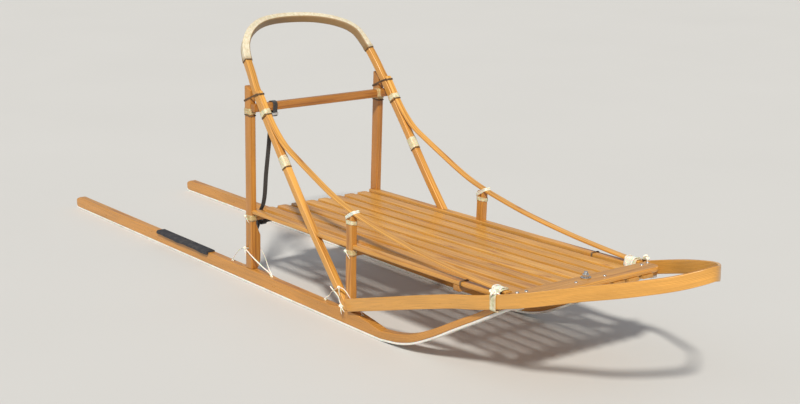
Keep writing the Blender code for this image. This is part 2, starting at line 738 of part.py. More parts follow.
def make_lashings(word, side, parts):
    bow, rail, brush = parts["bow"], parts["handrail"], parts["brush"]
    rear, front = parts["rear"], parts["front"]
    y = side * 0.2760
    down_leg = Vector((0.62, 0, -0.785))
    top_way = Vector((0.36, 0, -0.93))
    post = Vector((-0.50, 0, 0.87))
    for name, members, middle, axis, length, thickness in (
        ("bow_lashing", [bow, rail, rear], at(1.530, y, 0.6905), top_way, 0.012, 0.0025),
        ("handrail_rear_lashing", [bow, rail], at(1.590, y, 0.640), down_leg, 0.026, 0.0020),
        ("splice_wrap", [bow, parts["brace"]], at(1.7050, y, 0.4880), down_leg, 0.050, 0.0016),
        ("handrail_post_lashing", [rail, front], at(2.0940, y, 0.3760), post, 0.010, 0.0020),
    ):
        wrap(f"{name}_{word}", members, middle, axis, length, thickness, "lash_rawhide")
    low, high = sorted((side * 0.2660, side * CROSSBAR_HIGH.y))
    low, high = Vector((CROSSBAR_LOW.x, low, 0.60)), Vector((CROSSBAR_HIGH.x, high, 0.70))
    held = [rear, as_tool(bar(f"crossbar_end_{word}", low, high, "varnished_wood"))]
    ring = wrap(f"crossbar_lashing_{word}", held, at(1.505, y, 0.632), UP, 0.020, 0.0022, "lash_rawhide")
    reach = Vector((GAP, GAP, GAP))
    change(ring, bar(f"crossbar_room_{word}", CROSSBAR_LOW - reach, CROSSBAR_HIGH + reach, "varnished_wood"))
    nose = [rail, parts["side_rail"], parts["runner"], parts["shoe"], brush]
    wrap(f"nose_lashing_{word}", nose, at(2.8460, y, 0.280), ALONG, 0.026, 0.0022, "white_rawhide")
    for name, post, box, height in (
        ("rear", rear, REAR_CROSSPIECE, 0.024),
        ("front", front, FRONT_CROSSPIECE, 0.022),
    ):
        middle = at((box[0].x + box[1].x) / 2, y, box[1].z - 0.0140)
        ring = wrap(f"{name}_crosspiece_lashing_{word}", [post], middle, UP, height, 0.0022, "lash_rawhide")
        low = Vector((box[0].x - GAP, -0.2622 - GAP, box[0].z - GAP))
        high = Vector((box[1].x + GAP, 0.2622 + GAP, box[1].z + GAP))
        change(ring, bar(f"{name}_lash_room_{word}", low, high, "varnished_wood"))


def make_thong(place, word, side):
    """A thong from the hole behind a stanchion foot, through the foot and on to the hole in front."""
    behind, ahead = HOLE_STATIONS[place]
    y = side * GAUGE / 2
    if place == "rear":
        rise = at(behind + 0.030, side * 0.2780, 0.0790)
        over = [
            (1.4300, 0.2885, 0.1230), (1.4560, 0.2895, 0.1312), (1.4665, 0.2870, 0.1315),
            (1.4670, 0.2700, 0.1310), (1.4670, 0.2450, 0.1310), (1.4720, 0.2410, 0.1290),
            (1.4950, 0.2425, 0.1170), (1.5700, 0.2620, 0.0700),
        ]
        end = [at(ahead - 0.001, y, 0.0575)]
    else:
        rise = at(behind + 0.030, side * 0.2740, 0.0745)
        over = [
            (1.9950, 0.2870, 0.1000), (2.0130, 0.2925, 0.1135), (2.0450, 0.2990, 0.1340),
            (2.0830, 0.2995, 0.1360), (2.1150, 0.2930, 0.1250), (2.1400, 0.2810, 0.0880),
        ]
        end = [at(ahead - 0.004, side * 0.2710, 0.0600), at(ahead, y, 0.0520)]
    lift = 0.0560 if place == "rear" else 0.0565
    route = [at(behind, y, 0.040), at(behind + 0.002, y, lift), rise]
    route += [at(s, side * out, z) for s, out, z in over] + end + [at(ahead, y, 0.040)]
    return cord(f"{place}_foot_thong_{word}", spline(route, 2), 0.0016, "white_rawhide")


# --- brake ---------------------------------------------------------------------------------------


def board_height(station):
    return BRAKE_PIVOT.z + (BRAKE_PIVOT.x - station) * BRAKE_RISE


def hang(obj, pivot):
    """Parents the object to the pivot's empty, and leaves it where it is."""
    obj.parent = pivot
    obj.location -= pivot.location


def make_brake():
    pivot = at(BRAKE_PIVOT.x, 0, BRAKE_PIVOT.z)
    hinge = bpy.data.objects.new("brake_pivot", None)
    hinge.location = pivot
    bpy.context.scene.collection.objects.link(hinge)
    ears_out, ears_in = 0.0500, 0.0460
    low, high = Vector((2.0770, -ears_out, 0.2398)), Vector((2.1020, ears_out, 0.2426))
    bracket = bar("brake_hinge", low, high, "black_steel")
    for word, side in SIDES.items():
        near, far = sorted((side * ears_in, side * ears_out))
        low, high = Vector((2.0800, near, 0.2040)), Vector((2.0990, far, 0.2410))
        change(bracket, bar(f"ear_{word}", low, high, "black_steel"), "UNION")
    half_pin = ACROSS * (ears_out - 0.001)
    pin = rod("hinge_pin", pivot - half_pin, pivot + half_pin, BRAKE_PIN_RADIUS, 24, "black_steel")
    change(bracket, pin, "UNION")

    half = BOARD_THICKNESS / 2
    nose, tail = BRAKE_PIVOT.x + 0.0110, 1.392
    outline = [(s, board_height(s) - half) for s in (tail, nose)]
    outline += [(s, board_height(s) + half) for s in (nose, tail)]
    board = prism("brake_board", outline, -BOARD_HALF_WIDTH, BOARD_HALF_WIDTH, "varnished_wood", 0.0030)
    through = ACROSS * 0.08
    bore = rod("hinge_bore", pivot - through, pivot + through, BRAKE_PIN_RADIUS + 0.0003, 32, "black_steel")
    change(board, bore)

    top = board_height(1.450) - half - GAP
    reach = 0.2320
    low, high = Vector((1.4240, -reach, top - 0.008)), Vector((1.4500, reach, top))
    claw = bar("brake_claw", low, high, "black_steel")
    for word, side in SIDES.items():
        near, far = sorted((side * (reach - 0.009), side * (reach - 0.0002)))
        hook = [
            (1.4495, top - 0.0005), (1.4495, top - 0.0150), (1.4380, top - 0.0330), (1.4130, top - 0.0520),
            (1.3650, top - 0.0650), (1.3980, top - 0.0400), (1.4180, top - 0.0180), (1.4245, top - 0.0005),
        ]
        change(claw, prism(f"hook_{word}", hook, near, far, "black_steel"), "UNION")
    hang(board, hinge)
    hang(claw, hinge)
    return top


def make_strap(claw_top):
    y = -0.2050
    low, high = CROSSBAR_LOW, CROSSBAR_HIGH
    away = 0.0022
    front, back = high.x + away, low.x - away
    route = [
        (front, 0.6130), (front, 0.6400), (front, high.z - 0.001), (high.x - 0.003, high.z + away),
        (low.x + 0.003, high.z + away), (back, high.z - 0.001), (back, 0.6400), (back - 0.001, 0.6130),
        (1.5020, 0.5700), (1.4700, 0.4000), (1.4440, 0.2750), (1.4190, 0.2350), (1.4185, claw_top - 0.0060),
        (1.4230, claw_top - 0.0112), (1.4500, claw_top - 0.0112), (1.4545, claw_top - 0.0050),
        (1.4545, claw_top + 0.0080),
    ]
    route = [at(s, y, z) for s, z in route]
    path = spline(route, 2)
    rings = []
    for i, point in enumerate(path):
        tangent = tangent_at(path, i)
        side = ACROSS * 0.009
        rise = tangent.cross(ACROSS) * 0.0010
        rings.append([point - side - rise, point + side - rise, point + side + rise, point - side + rise])
    strap = loft("brake_strap", rings, "black_webbing")
    wrap("strap_slide", [strap], at(1.5230, y, 0.6215), UP, 0.009, 0.0018, "zinc_steel")


# --- the whole sled ------------------------------------------------------------------------------

clear_scene()
MATERIALS = {name: make_material(name) for name in COLOURS}

driving_bow = make_driving_bow()
make_grip()
brush_bow = make_brush_bow()
bar("top_crossbar", CROSSBAR_LOW, CROSSBAR_HIGH, "varnished_wood", 0.0025)
make_crosspiece("crosspiece_rear", REAR_CROSSPIECE, 0.2622, 0.0120)
make_crosspiece("crosspiece_front", FRONT_CROSSPIECE, 0.2622, 0.0120)
make_crosspiece("crosspiece_nose", NOSE_CROSSPIECE, 0.2810)
for slat in range(1, SLAT_COUNT + 1):
    make_slat(slat)
make_front_board()
runners = {}
for word, side in SIDES.items():
    runners[word], sole = make_runner(word, side)
    make_footpad(word, side)
    parts = {"bow": driving_bow, "brush": brush_bow, "runner": runners[word], "shoe": sole}
    parts["rear"] = make_rear_stanchion(word, side)
    parts["front"] = make_front_stanchion(word, side)
    parts["brace"] = make_brace(word, side)
    parts["handrail"] = make_handrail(word, side)
    parts["side_rail"] = make_side_rail(word, side)
    make_lashings(word, side, parts)
    make_thong("rear", word, side)
    make_thong("front", word, side)
make_fasteners(runners)
make_strap(make_brake())
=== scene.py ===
"""Looks of the wooden dog sled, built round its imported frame. Metres; +X to the nose, +Y left, +Z up."""

import math
import random

import bmesh
import bpy
import numpy as np
from mathutils import Matrix, Vector, noise


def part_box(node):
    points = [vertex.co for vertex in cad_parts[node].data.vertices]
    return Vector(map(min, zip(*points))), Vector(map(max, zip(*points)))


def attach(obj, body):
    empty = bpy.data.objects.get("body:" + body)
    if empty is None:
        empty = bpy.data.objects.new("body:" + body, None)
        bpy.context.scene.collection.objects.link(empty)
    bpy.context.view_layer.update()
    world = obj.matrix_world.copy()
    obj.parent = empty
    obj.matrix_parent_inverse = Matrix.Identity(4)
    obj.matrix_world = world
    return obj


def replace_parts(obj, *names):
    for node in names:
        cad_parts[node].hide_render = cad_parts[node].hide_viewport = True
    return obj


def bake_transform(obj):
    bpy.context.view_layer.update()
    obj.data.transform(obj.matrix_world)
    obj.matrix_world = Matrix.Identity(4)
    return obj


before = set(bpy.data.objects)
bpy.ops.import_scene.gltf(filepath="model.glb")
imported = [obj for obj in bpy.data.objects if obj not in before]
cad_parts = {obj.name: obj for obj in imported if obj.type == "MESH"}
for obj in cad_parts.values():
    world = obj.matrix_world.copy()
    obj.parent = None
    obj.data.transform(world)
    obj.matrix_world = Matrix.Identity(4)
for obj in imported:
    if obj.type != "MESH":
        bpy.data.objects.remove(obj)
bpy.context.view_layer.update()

DRAW = random.Random(7)
SIDES = {"right": -1, "left": 1}
MIDDLE_STATION = 1.725
GAP = 0.0004
UP = Vector((0, 0, 1))
ACROSS = Vector((0, 1, 0))
ALONG = Vector((1, 0, 0))


# --- shader graphs ---------------------------


class Graph:
    """A material's node graph, with short calls for the nodes it needs."""

    def __init__(self, name, roughness=0.5, metallic=0.0, **fixed):
        self.material = bpy.data.materials.new(name)
        self.material.use_nodes = True
        self.tree = self.material.node_tree
        self.shader = self.tree.nodes["Principled BSDF"]
        self.shader.inputs["Roughness"].default_value = roughness
        self.shader.inputs["Metallic"].default_value = metallic
        for key, value in fixed.items():
            self.shader.inputs[key.replace("_", " ")].default_value = value

    def add(self, kind, feeds=(), **settings):
        node = self.tree.nodes.new("ShaderNode" + kind)
        for key, value in settings.items():
            setattr(node, key, value)
        for key, value in dict(feeds).items():
            self.feed(node.inputs[key], value)
        return node

    def feed(self, socket, value):
        if isinstance(value, bpy.types.NodeSocket):
            self.tree.links.new(value, socket)
        else:
            socket.default_value = value

    def attribute(self, name, output="Vector"):
        return self.add("Attribute", attribute_name=name).outputs[output]

    def place(self):
        return self.add("TexCoord").outputs["Object"]

    def stretch(self, vector, scale):
        return self.add("Mapping", {"Vector": vector, "Scale": scale}).outputs["Vector"]

    def noise(self, vector, scale, detail=3.0, roughness=0.5):
        feeds = {"Vector": vector, "Scale": scale, "Detail": detail, "Roughness": roughness}
        return self.add("TexNoise", feeds).outputs["Fac"]

    def math(self, operation, a, b=0.0):
        node = self.add("Math", operation=operation)
        self.feed(node.inputs[0], a)
        self.feed(node.inputs[1], b)
        return node.outputs[0]

    def span(self, value, low, high, to_low=0.0, to_high=1.0):
        feeds = {"Value": value, "From Min": low, "From Max": high, "To Min": to_low, "To Max": to_high}
        return self.add("MapRange", feeds).outputs["Result"]

    def ramp(self, value, stops):
        node = self.add("ValToRGB", {"Fac": value})
        elements = node.color_ramp.elements
        while len(elements) < len(stops):
            elements.new(0.5)
        for element, (place, colour) in zip(elements, stops):
            element.position = place
            element.color = (*colour, 1)
        return node.outputs["Color"]

    def mix(self, amount, a, b, blend="MIX"):
        node = self.add("Mix", data_type="RGBA", blend_type=blend)
        self.feed(node.inputs[0], amount)
        for socket, value in ((node.inputs[6], a), (node.inputs[7], b)):
            self.feed(socket, value if isinstance(value, bpy.types.NodeSocket) else (*value, 1))
        return node.outputs[2]

    def finish(self, colour, roughness=None, height=None, depth=0.0002, strength=0.6):
        self.feed(self.shader.inputs["Base Color"], colour)
        if roughness is not None:
            self.feed(self.shader.inputs["Roughness"], roughness)
        if height is not None:
            feeds = {"Height": height, "Distance": depth, "Strength": strength}
            self.feed(self.shader.inputs["Normal"], self.add("Bump", feeds).outputs["Normal"])
        return self.material


RING_WIDTH = 0.0034


def wood_material():
    """Varnished ash: growth rings round the piece's own heart, pores along it, and amber varnish."""
    g = Graph("varnished_ash", Coat_Weight=0.2, Coat_Roughness=0.18, Coat_IOR=1.5)
    grain = g.attribute("grain")
    tone = g.attribute("tone", "Fac")
    drift = g.noise(g.stretch(grain, (1.3, 22.0, 22.0)), 1.0, 2.0)
    waver = g.noise(g.stretch(grain, (7.0, 60.0, 60.0)), 1.0, 3.0)
    parts = g.add("SeparateXYZ", {"Vector": grain}).outputs
    squares = g.math("ADD", g.math("POWER", parts["Y"], 2.0), g.math("POWER", parts["Z"], 2.0))
    rings = g.math("MULTIPLY", g.math("POWER", squares, 0.5), 1 / RING_WIDTH)
    rings = g.math("ADD", rings, g.math("MULTIPLY", drift, 5.0))
    rings = g.math("ADD", rings, g.math("MULTIPLY", waver, 0.45))
    year = g.math("FRACT", rings)
    pores = g.noise(g.stretch(grain, (26.0, 1500.0, 1500.0)), 1.0, 2.0, 0.6)
    fibres = g.noise(g.stretch(grain, (9.0, 520.0, 520.0)), 1.0, 4.0, 0.6)
    clouds = g.noise(g.stretch(grain, (3.2, 30.0, 30.0)), 1.0, 3.0)
    light = g.ramp(year, [
        (0.0, (0.449, 0.178, 0.031)), (0.16, (0.653, 0.313, 0.058)), (0.55, (0.785, 0.426, 0.096)),
        (0.9, (0.694, 0.343, 0.067)), (1.0, (0.479, 0.194, 0.034)),
    ])
    deep = g.ramp(year, [
        (0.0, (0.225, 0.067, 0.008)), (0.16, (0.333, 0.107, 0.014)), (0.55, (0.414, 0.144, 0.021)),
        (0.9, (0.36, 0.119, 0.015)), (1.0, (0.241, 0.072, 0.009)),
    ])
    colour = g.mix(tone, light, deep)
    early = g.span(year, 0.0, 0.35, 1.0, 0.0)
    dots = g.math("MULTIPLY", g.span(pores, 0.6, 0.72), early)
    colour = g.mix(g.math("MULTIPLY", dots, 0.55), colour, (0.17, 0.062, 0.016))
    streaks = g.span(fibres, 0.3, 0.7, 0.82, 1.12)
    patches = g.span(clouds, 0.25, 0.75, 0.82, 1.12)
    shade = g.math("MULTIPLY", streaks, patches)
    dull = g.add("CombineColor", {"Red": shade, "Green": shade, "Blue": shade}).outputs["Color"]
    colour = g.mix(1.0, colour, dull, "MULTIPLY")
    ends = g.attribute("soil_and_shade", "Fac")
    colour = g.mix(g.math("MULTIPLY", ends, 0.55), colour, (0.2, 0.085, 0.028))
    scuffs = g.noise(g.stretch(grain, (35.0, 240.0, 240.0)), 1.0, 4.0, 0.65)
    roughness = g.math("ADD", g.span(scuffs, 0.35, 0.8, 0.27, 0.46), g.math("MULTIPLY", ends, 0.15))
    height = g.math("SUBTRACT", g.math("MULTIPLY", fibres, 0.5), dots)
    return g.finish(colour, roughness, height, 0.00012, 0.45)


def rawhide_material(name, thin, thick, stain, see_through, roughness):
    """Dried rawhide: glassy where thin, cloudy and pale where thick, with fibres, stained edges and, where
    the mark asks for it, painted shade.
    """
    g = Graph(name, Subsurface_Weight=see_through, Subsurface_Scale=0.004, Coat_Weight=0.2)
    g.shader.inputs["Coat Roughness"].default_value = 0.25
    place = g.place()
    grain = g.attribute("grain")
    cloud = g.noise(place, 90.0, 4.0, 0.6)
    fibre = g.noise(g.stretch(grain, (60.0, 420.0, 420.0)), 1.0, 3.0, 0.6)
    fleck = g.noise(place, 420.0, 2.0)
    colour = g.mix(g.span(cloud, 0.35, 0.65), thin, thick)
    colour = g.mix(g.span(fibre, 0.45, 0.8, 0.0, 0.28), colour, stain)
    colour = g.mix(g.span(fleck, 0.62, 0.78, 0.0, 0.5), colour, stain)
    # The mark darkens towards the stain colour: real stains at ends and edges, and painted shade on the
    # grip's underside.
    edge = g.attribute("soil_and_shade", "Fac")
    colour = g.mix(g.math("MULTIPLY", edge, 0.7), colour, stain)
    rough = g.span(cloud, 0.3, 0.7, roughness - 0.1, roughness + 0.12)
    height = g.math("ADD", g.math("MULTIPLY", fibre, 0.5), cloud)
    return g.finish(colour, rough, height, 0.0003, 0.4)


def plastic_material():
    """White polyethylene shoe, scored along the way it slides and grey where it has picked up dirt."""
    g = Graph("shoe_polyethylene", Subsurface_Weight=0.15, Subsurface_Scale=0.006)
    place = g.place()
    score = g.noise(g.stretch(place, (5.0, 900.0, 60.0)), 1.0, 3.0, 0.7)
    dirt = g.noise(place, 26.0, 5.0, 0.6)
    colour = g.mix(g.span(dirt, 0.45, 0.75, 0.0, 0.5), (0.8, 0.79, 0.74), (0.5, 0.46, 0.38))
    colour = g.mix(g.span(score, 0.58, 0.7, 0.0, 0.35), colour, (0.42, 0.39, 0.33))
    return g.finish(colour, g.span(dirt, 0.3, 0.7, 0.38, 0.55), score, 0.0003, 0.5)


def rubber_material():
    g = Graph("tread_rubber", Specular_IOR_Level=0.35)
    place = g.place()
    dust = g.noise(place, 45.0, 5.0, 0.65)
    speck = g.noise(place, 900.0, 2.0)
    colour = g.mix(g.span(dust, 0.45, 0.75, 0.0, 0.6), (0.03, 0.031, 0.038), (0.115, 0.108, 0.1))
    colour = g.mix(g.span(speck, 0.6, 0.75, 0.0, 0.35), colour, (0.19, 0.18, 0.16))
    return g.finish(colour, g.span(dust, 0.3, 0.7, 0.62, 0.9), speck, 0.0003, 0.7)


def zinc_material():
    g = Graph("zinc_plate", metallic=1.0)
    place = g.place()
    grains = g.add("TexVoronoi", {"Vector": place, "Scale": 480.0}).outputs["Color"]
    tarnish = g.noise(place, 130.0, 5.0, 0.65)
    spread = g.add("SeparateColor", {"Color": grains}).outputs["Red"]
    colour = g.mix(spread, (0.62, 0.63, 0.64), (0.78, 0.78, 0.76))
    colour = g.mix(g.span(tarnish, 0.55, 0.75, 0.0, 0.6), colour, (0.36, 0.3, 0.24))
    rough = g.math("ADD", g.span(spread, 0.0, 1.0, 0.2, 0.34), g.span(tarnish, 0.5, 0.75, 0.0, 0.25))
    return g.finish(colour, rough, tarnish, 0.0001, 0.4)


def black_steel_material():
    """Black paint on steel, worn to bare metal and a little rust in places."""
    g = Graph("black_painted_steel", Coat_Weight=0.15, Coat_Roughness=0.3)
    place = g.place()
    wear = g.noise(place, 75.0, 6.0, 0.7)
    peel = g.noise(place, 520.0, 2.0)
    worn = g.span(wear, 0.63, 0.69)
    colour = g.mix(g.span(peel, 0.3, 0.7), (0.014, 0.014, 0.015), (0.028, 0.028, 0.029))
    colour = g.mix(worn, colour, (0.22, 0.13, 0.08))
    g.feed(g.shader.inputs["Metallic"], g.math("MULTIPLY", worn, 0.6))
    return g.finish(colour, g.span(wear, 0.4, 0.7, 0.34, 0.62), peel, 0.0002, 0.35)


def webbing_material():
    """Black elastic webbing: a fine twill across it, with lengthwise ribs and dusty yarn."""
    g = Graph("elastic_webbing", Sheen_Weight=0.35, Sheen_Roughness=0.5)
    grain = g.attribute("grain")
    slanted = {"Vector": g.stretch(grain, (1.0, 0.28, 0.0)), "Scale": 210.0}
    weft = g.add("TexWave", slanted, bands_direction="DIAGONAL")
    ribs = g.add("TexWave", {"Vector": grain, "Scale": 170.0}, bands_direction="Y")
    fuzz = g.noise(grain, 900.0, 3.0, 0.6)
    weave = g.math("MULTIPLY", weft.outputs["Fac"], ribs.outputs["Fac"])
    colour = g.mix(weave, (0.01, 0.01, 0.011), (0.052, 0.051, 0.053))
    colour = g.mix(g.span(fuzz, 0.5, 0.8, 0.0, 0.4), colour, (0.1, 0.095, 0.088))
    return g.finish(colour, g.span(fuzz, 0.3, 0.7, 0.7, 0.92), weave, 0.0005, 0.8)


def floor_material():
    g = Graph("pale_floor", roughness=0.85)
    place = g.place()
    tint = g.noise(place, 0.8, 3.0)
    return g.finish(g.mix(tint, (0.57, 0.57, 0.56), (0.6, 0.6, 0.59)))


WOOD = wood_material()
TAN_HIDE = rawhide_material(
    "tan_rawhide", (0.5, 0.33, 0.13), (0.66, 0.52, 0.29), (0.22, 0.12, 0.045), 0.25, 0.42,
)
PALE_HIDE = rawhide_material(
    "pale_rawhide", (0.62, 0.5, 0.28), (0.8, 0.72, 0.52), (0.36, 0.25, 0.12), 0.25, 0.45,
)
WHITE_HIDE = rawhide_material(
    "white_rawhide", (0.8, 0.75, 0.62), (0.9, 0.88, 0.8), (0.56, 0.46, 0.3), 0.3, 0.55,
)
GRIP_HIDE = rawhide_material(
    "grip_rawhide", (0.6, 0.52, 0.35), (0.75, 0.69, 0.54), (0.25, 0.145, 0.05), 0.06, 0.55,
)
DARK_CORD = rawhide_material(
    "dark_waxed_cord", (0.115, 0.062, 0.026), (0.17, 0.098, 0.045), (0.04, 0.022, 0.01), 0.0, 0.6,
)
SHOE = plastic_material()
RUBBER = rubber_material()
ZINC = zinc_material()
BLACK_STEEL = black_steel_material()
WEBBING = webbing_material()


# --- curves and meshes -----------------------


def at(station, y, z):
    return Vector((station - MIDDLE_STATION, y, z))


def beside(route, side):
    """(station, distance from the middle, height) points as vectors on that side."""
    return [at(station, side * y, z) for station, y, z in route]


def spline(points, steps):
    """A smooth curve through the points, with that many steps in each span."""
    points = [Vector(p) for p in points]
    chords = [(b - a).length for a, b in zip(points, points[1:])]
    slopes = [(b - a) / c for a, b, c in zip(points, points[1:], chords)]
    tangents = [slopes[0]]
    for before, after, near, far in zip(slopes, slopes[1:], chords, chords[1:]):
        tangents.append((before * far + after * near) / (near + far))
    tangents.append(slopes[-1])
    curve = [points[0]]
    for i, chord in enumerate(chords):
        for step in range(1, steps + 1):
            t = step / steps
            curve.append(
                points[i] * (2 * t**3 - 3 * t**2 + 1)
                + tangents[i] * chord * (t**3 - 2 * t**2 + t)
                + points[i + 1] * (3 * t**2 - 2 * t**3)
                + tangents[i + 1] * chord * (t**3 - t**2)
            )
    return curve


def tangent_at(path, i):
    return (path[min(i + 1, len(path) - 1)] - path[max(i - 1, 0)]).normalized()


def frame_at(path, i, towards):
    """(along, side, rise) of the path there: rise runs towards that way."""
    tangent = tangent_at(path, i)
    rise = (towards - tangent * towards.dot(tangent)).normalized()
    return tangent, rise.cross(tangent), rise


def lengths(path):
    run = [0.0]
    for a, b in zip(path, path[1:]):
        run.append(run[-1] + (b - a).length)
    return run


def new_object(name, bm, material, body="sled", crease=40):
    """An object of the mesh, smooth but for its creases, riding on its body."""
    bmesh.ops.recalc_face_normals(bm, faces=bm.faces)
    mesh = bpy.data.meshes.new(name)
    bm.to_mesh(mesh)
    bm.free()
    mesh.shade_smooth()
    mesh.set_sharp_from_angle(angle=math.radians(crease))
    obj = bpy.data.objects.new(name, mesh)
    bpy.context.scene.collection.objects.link(obj)
    mesh.materials.append(material)
    if body:
        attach(obj, body)
    return obj


def set_attribute(obj, name, kind, values):
    attribute = obj.data.attributes.get(name) or obj.data.attributes.new(name, kind, "POINT")
    key = "vector" if kind == "FLOAT_VECTOR" else "value"
    attribute.data.foreach_set(key, np.asarray(values, np.float32).ravel())


def join_rings(bm, rows):
    """Faces between neighbouring rings of the same number of points, and one over each end."""
    count = len(rows[0])
    for near, far in zip(rows, rows[1:]):
        for k in range(count):
            bm.faces.new((near[k], near[(k + 1) % count], far[(k + 1) % count], far[k]))
    bm.faces.new(rows[0])
    bm.faces.new(rows[-1])


def skin(name, rings, grain, material, body="sled", soil_and_shade=None, crease=40):
    """A closed surface through rings of points. grain and soil hold one value for each point of a ring."""
    bm = bmesh.new()
    join_rings(bm, [[bm.verts.new(p) for p in ring] for ring in rings])
    obj = new_object(name, bm, material, body, crease)
    set_attribute(obj, "grain", "FLOAT_VECTOR", [g for ring in grain for g in ring])
    flat = [0.0] * len(obj.data.vertices) if soil_and_shade is None else [s for ring in soil_and_shade for s in ring]
    set_attribute(obj, "soil_and_shade", "FLOAT", flat)
    return obj


def rounded(u_low, u_high, v_low, v_high, radius, steps=3):
    """The outline of a rectangle with round corners, and a point at the middle of each side."""
    corners = [(u_low, v_low, 180), (u_high, v_low, 270), (u_high, v_high, 0), (u_low, v_high, 90)]
    points = []
    for i, (u, v, start) in enumerate(corners):
        cu = u + math.copysign(radius, u_low + u_high - 2 * u)
        cv = v + math.copysign(radius, v_low + v_high - 2 * v)
        for step in range(steps + 1):
            a = math.radians(start + 90 * step / steps)
            points.append((cu + radius * math.cos(a), cv + radius * math.sin(a)))
        nu, nv, _ = corners[(i + 1) % 4]
        points.append(((u + nu) / 2, (v + nv) / 2))
    return points


def timber_rings(path, frames, sizes, radius):
    """Rings of a bent timber. sizes gives (side low, side high, rise low, rise high) at each path point."""
    rings, grain = [], []
    for place, (tangent, side, rise), size, run in zip(path, frames, sizes, lengths(path)):
        outline = rounded(*size, radius)
        rings.append([place + side * u + rise * v for u, v in outline])
        grain.append([(run, u, v) for u, v in outline])
    return rings, grain


def ends_rounded(rings, grain, radius):
    """Adds rings at both ends that round off the end's edge."""
    for end in (0, -1):
        ring, values = rings[end], grain[end]
        inner = rings[1] if end == 0 else rings[-2]
        middle = sum(ring, Vector()) / len(ring)
        away = (middle - sum(inner, Vector()) / len(inner)).normalized()
        size = max((p - middle).length for p in ring)
        extra = []
        for angle in (30, 60, 90):
            out = radius * math.sin(math.radians(angle))
            draw = radius * (1 - math.cos(math.radians(angle))) / size * 1.6
            extra.append([middle + (p - middle) * (1 - draw) + away * (out - radius) for p in ring])
        base = [p - away * radius for p in ring]
        if end == 0:
            rings[:1] = extra[::-1] + [base]
            grain[:0] = [values] * 3
        else:
            rings[-1:] = [base] + extra
            grain.extend([values] * 3)
    return rings, grain


def season(obj, tone, heart=None):
    """Gives a wooden piece its tone, its own stretch of log and the place of its heart."""
    heart = heart or (DRAW.uniform(-0.02, 0.02), DRAW.choice((-1, 1)) * DRAW.uniform(0.035, 0.08))
    start = DRAW.uniform(0, 40)
    values = np.empty(len(obj.data.vertices) * 3, np.float32)
    obj.data.attributes["grain"].data.foreach_get("vector", values)
    values = values.reshape(-1, 3) + np.array([start, heart[0], heart[1]], np.float32)
    set_attribute(obj, "grain", "FLOAT_VECTOR", values)
    set_attribute(obj, "tone", "FLOAT", [tone] * len(obj.data.vertices))


def timber(node, path, towards, sizes, radius, tone, end_radius, frames=None):
    """A bent wooden piece in place of its node."""
    frames = frames or [frame_at(path, i, towards) for i in range(len(path))]
    rings, grain = timber_rings(path, frames, sizes, radius)
    if end_radius:
        rings, grain = ends_rounded(rings, grain, end_radius)
    finished(node, rings, grain, tone)


def finished(node, rings, grain, tone, heart=None):
    """The rings as varnished wood, in place of the node."""
    obj = flat_faced(skin(f"{node}_wood", rings, grain, WOOD, crease=60))
    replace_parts(obj, node)
    season(obj, tone, heart)


def flat_faced(obj):
    """Shades the broad faces flat, so that only the rounded edges turn the light."""
    weighted = obj.modifiers.new("weighted_normals", "WEIGHTED_NORMAL")
    weighted.keep_sharp = True
    return obj


END_SHARE = 0.985
END_SOIL = 0.6


def straight_piece(node, tone, body="sled"):
    """A copy of a straight wooden node, with its grain along its longest way."""
    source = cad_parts[node]
    bm = bmesh.new()
    bm.from_mesh(source.data)
    bmesh.ops.remove_doubles(bm, verts=bm.verts, dist=1e-5)
    obj = new_object(f"{node}_wood", bm, WOOD, body, 50)
    co = np.array([v.co for v in obj.data.vertices], float)
    middle = (co.min(0) + co.max(0)) / 2
    spread = np.linalg.eigh(np.cov((co - co.mean(0)).T))[1][:, ::-1]
    local = (co - middle) @ spread
    set_attribute(obj, "grain", "FLOAT_VECTOR", local)
    ends = np.abs(local[:, 0]) / max(np.abs(local[:, 0]).max(), 1e-6)
    set_attribute(obj, "soil_and_shade", "FLOAT", np.clip((ends - END_SHARE) / (1 - END_SHARE), 0, 1) * END_SOIL)
    flat_faced(obj)
    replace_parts(obj, node)
    season(obj, tone)


# --- timbers ---------------------------------

BOW_LEG = [
    (1.72, 0.2875, 0.487), (1.676, 0.2875, 0.542), (1.611, 0.287, 0.6215), (1.55, 0.2855, 0.699),
    (1.529, 0.284, 0.723), (1.494, 0.279, 0.771), (1.455, 0.273, 0.818),
]
BOW_ARCH = [
    (1.437, 0.2675, 0.84), (1.422, 0.26, 0.86), (1.409, 0.249, 0.878), (1.39, 0.228, 0.897),
    (1.358, 0.187, 0.9165), (1.322, 0.127, 0.9305), (1.297, 0.06, 0.936), (1.289, 0.0, 0.937),
]
BRACE_LINE = [
    (1.72, 0.2875, 0.487), (1.756, 0.2875, 0.4425), (1.825, 0.2875, 0.359), (1.886, 0.2875, 0.289),
    (1.984, 0.2875, 0.1815), (2.099, 0.2875, 0.056),
]
HANDRAIL_LINE = [
    (1.552, 0.276, 0.7135), (1.572, 0.276, 0.6885), (1.597, 0.276, 0.6565), (1.623, 0.276, 0.624),
    (1.658, 0.276, 0.589), (1.705, 0.276, 0.553), (1.789, 0.276, 0.5135), (1.873, 0.276, 0.478),
    (1.958, 0.2757, 0.443), (2.03, 0.2753, 0.417), (2.104, 0.275, 0.397), (2.202, 0.2748, 0.3765),
    (2.305, 0.274, 0.358), (2.454, 0.2725, 0.3385), (2.6, 0.27, 0.3245), (2.711, 0.2685, 0.3165),
    (2.78, 0.2675, 0.3125), (2.866, 0.267, 0.3095),
]
BRUSH_LINE = [
    (2.082, 0.297, 0.096), (2.18, 0.301, 0.1235), (2.302, 0.306, 0.158), (2.512, 0.309, 0.217),
    (2.66, 0.3095, 0.256), (2.78, 0.309, 0.2829), (2.86, 0.305, 0.3039), (2.955, 0.2965, 0.3294),
    (3.1168, 0.235, 0.376), (3.2616, 0.165, 0.4134), (3.3443, 0.085, 0.4362), (3.4, 0.0, 0.46),
]
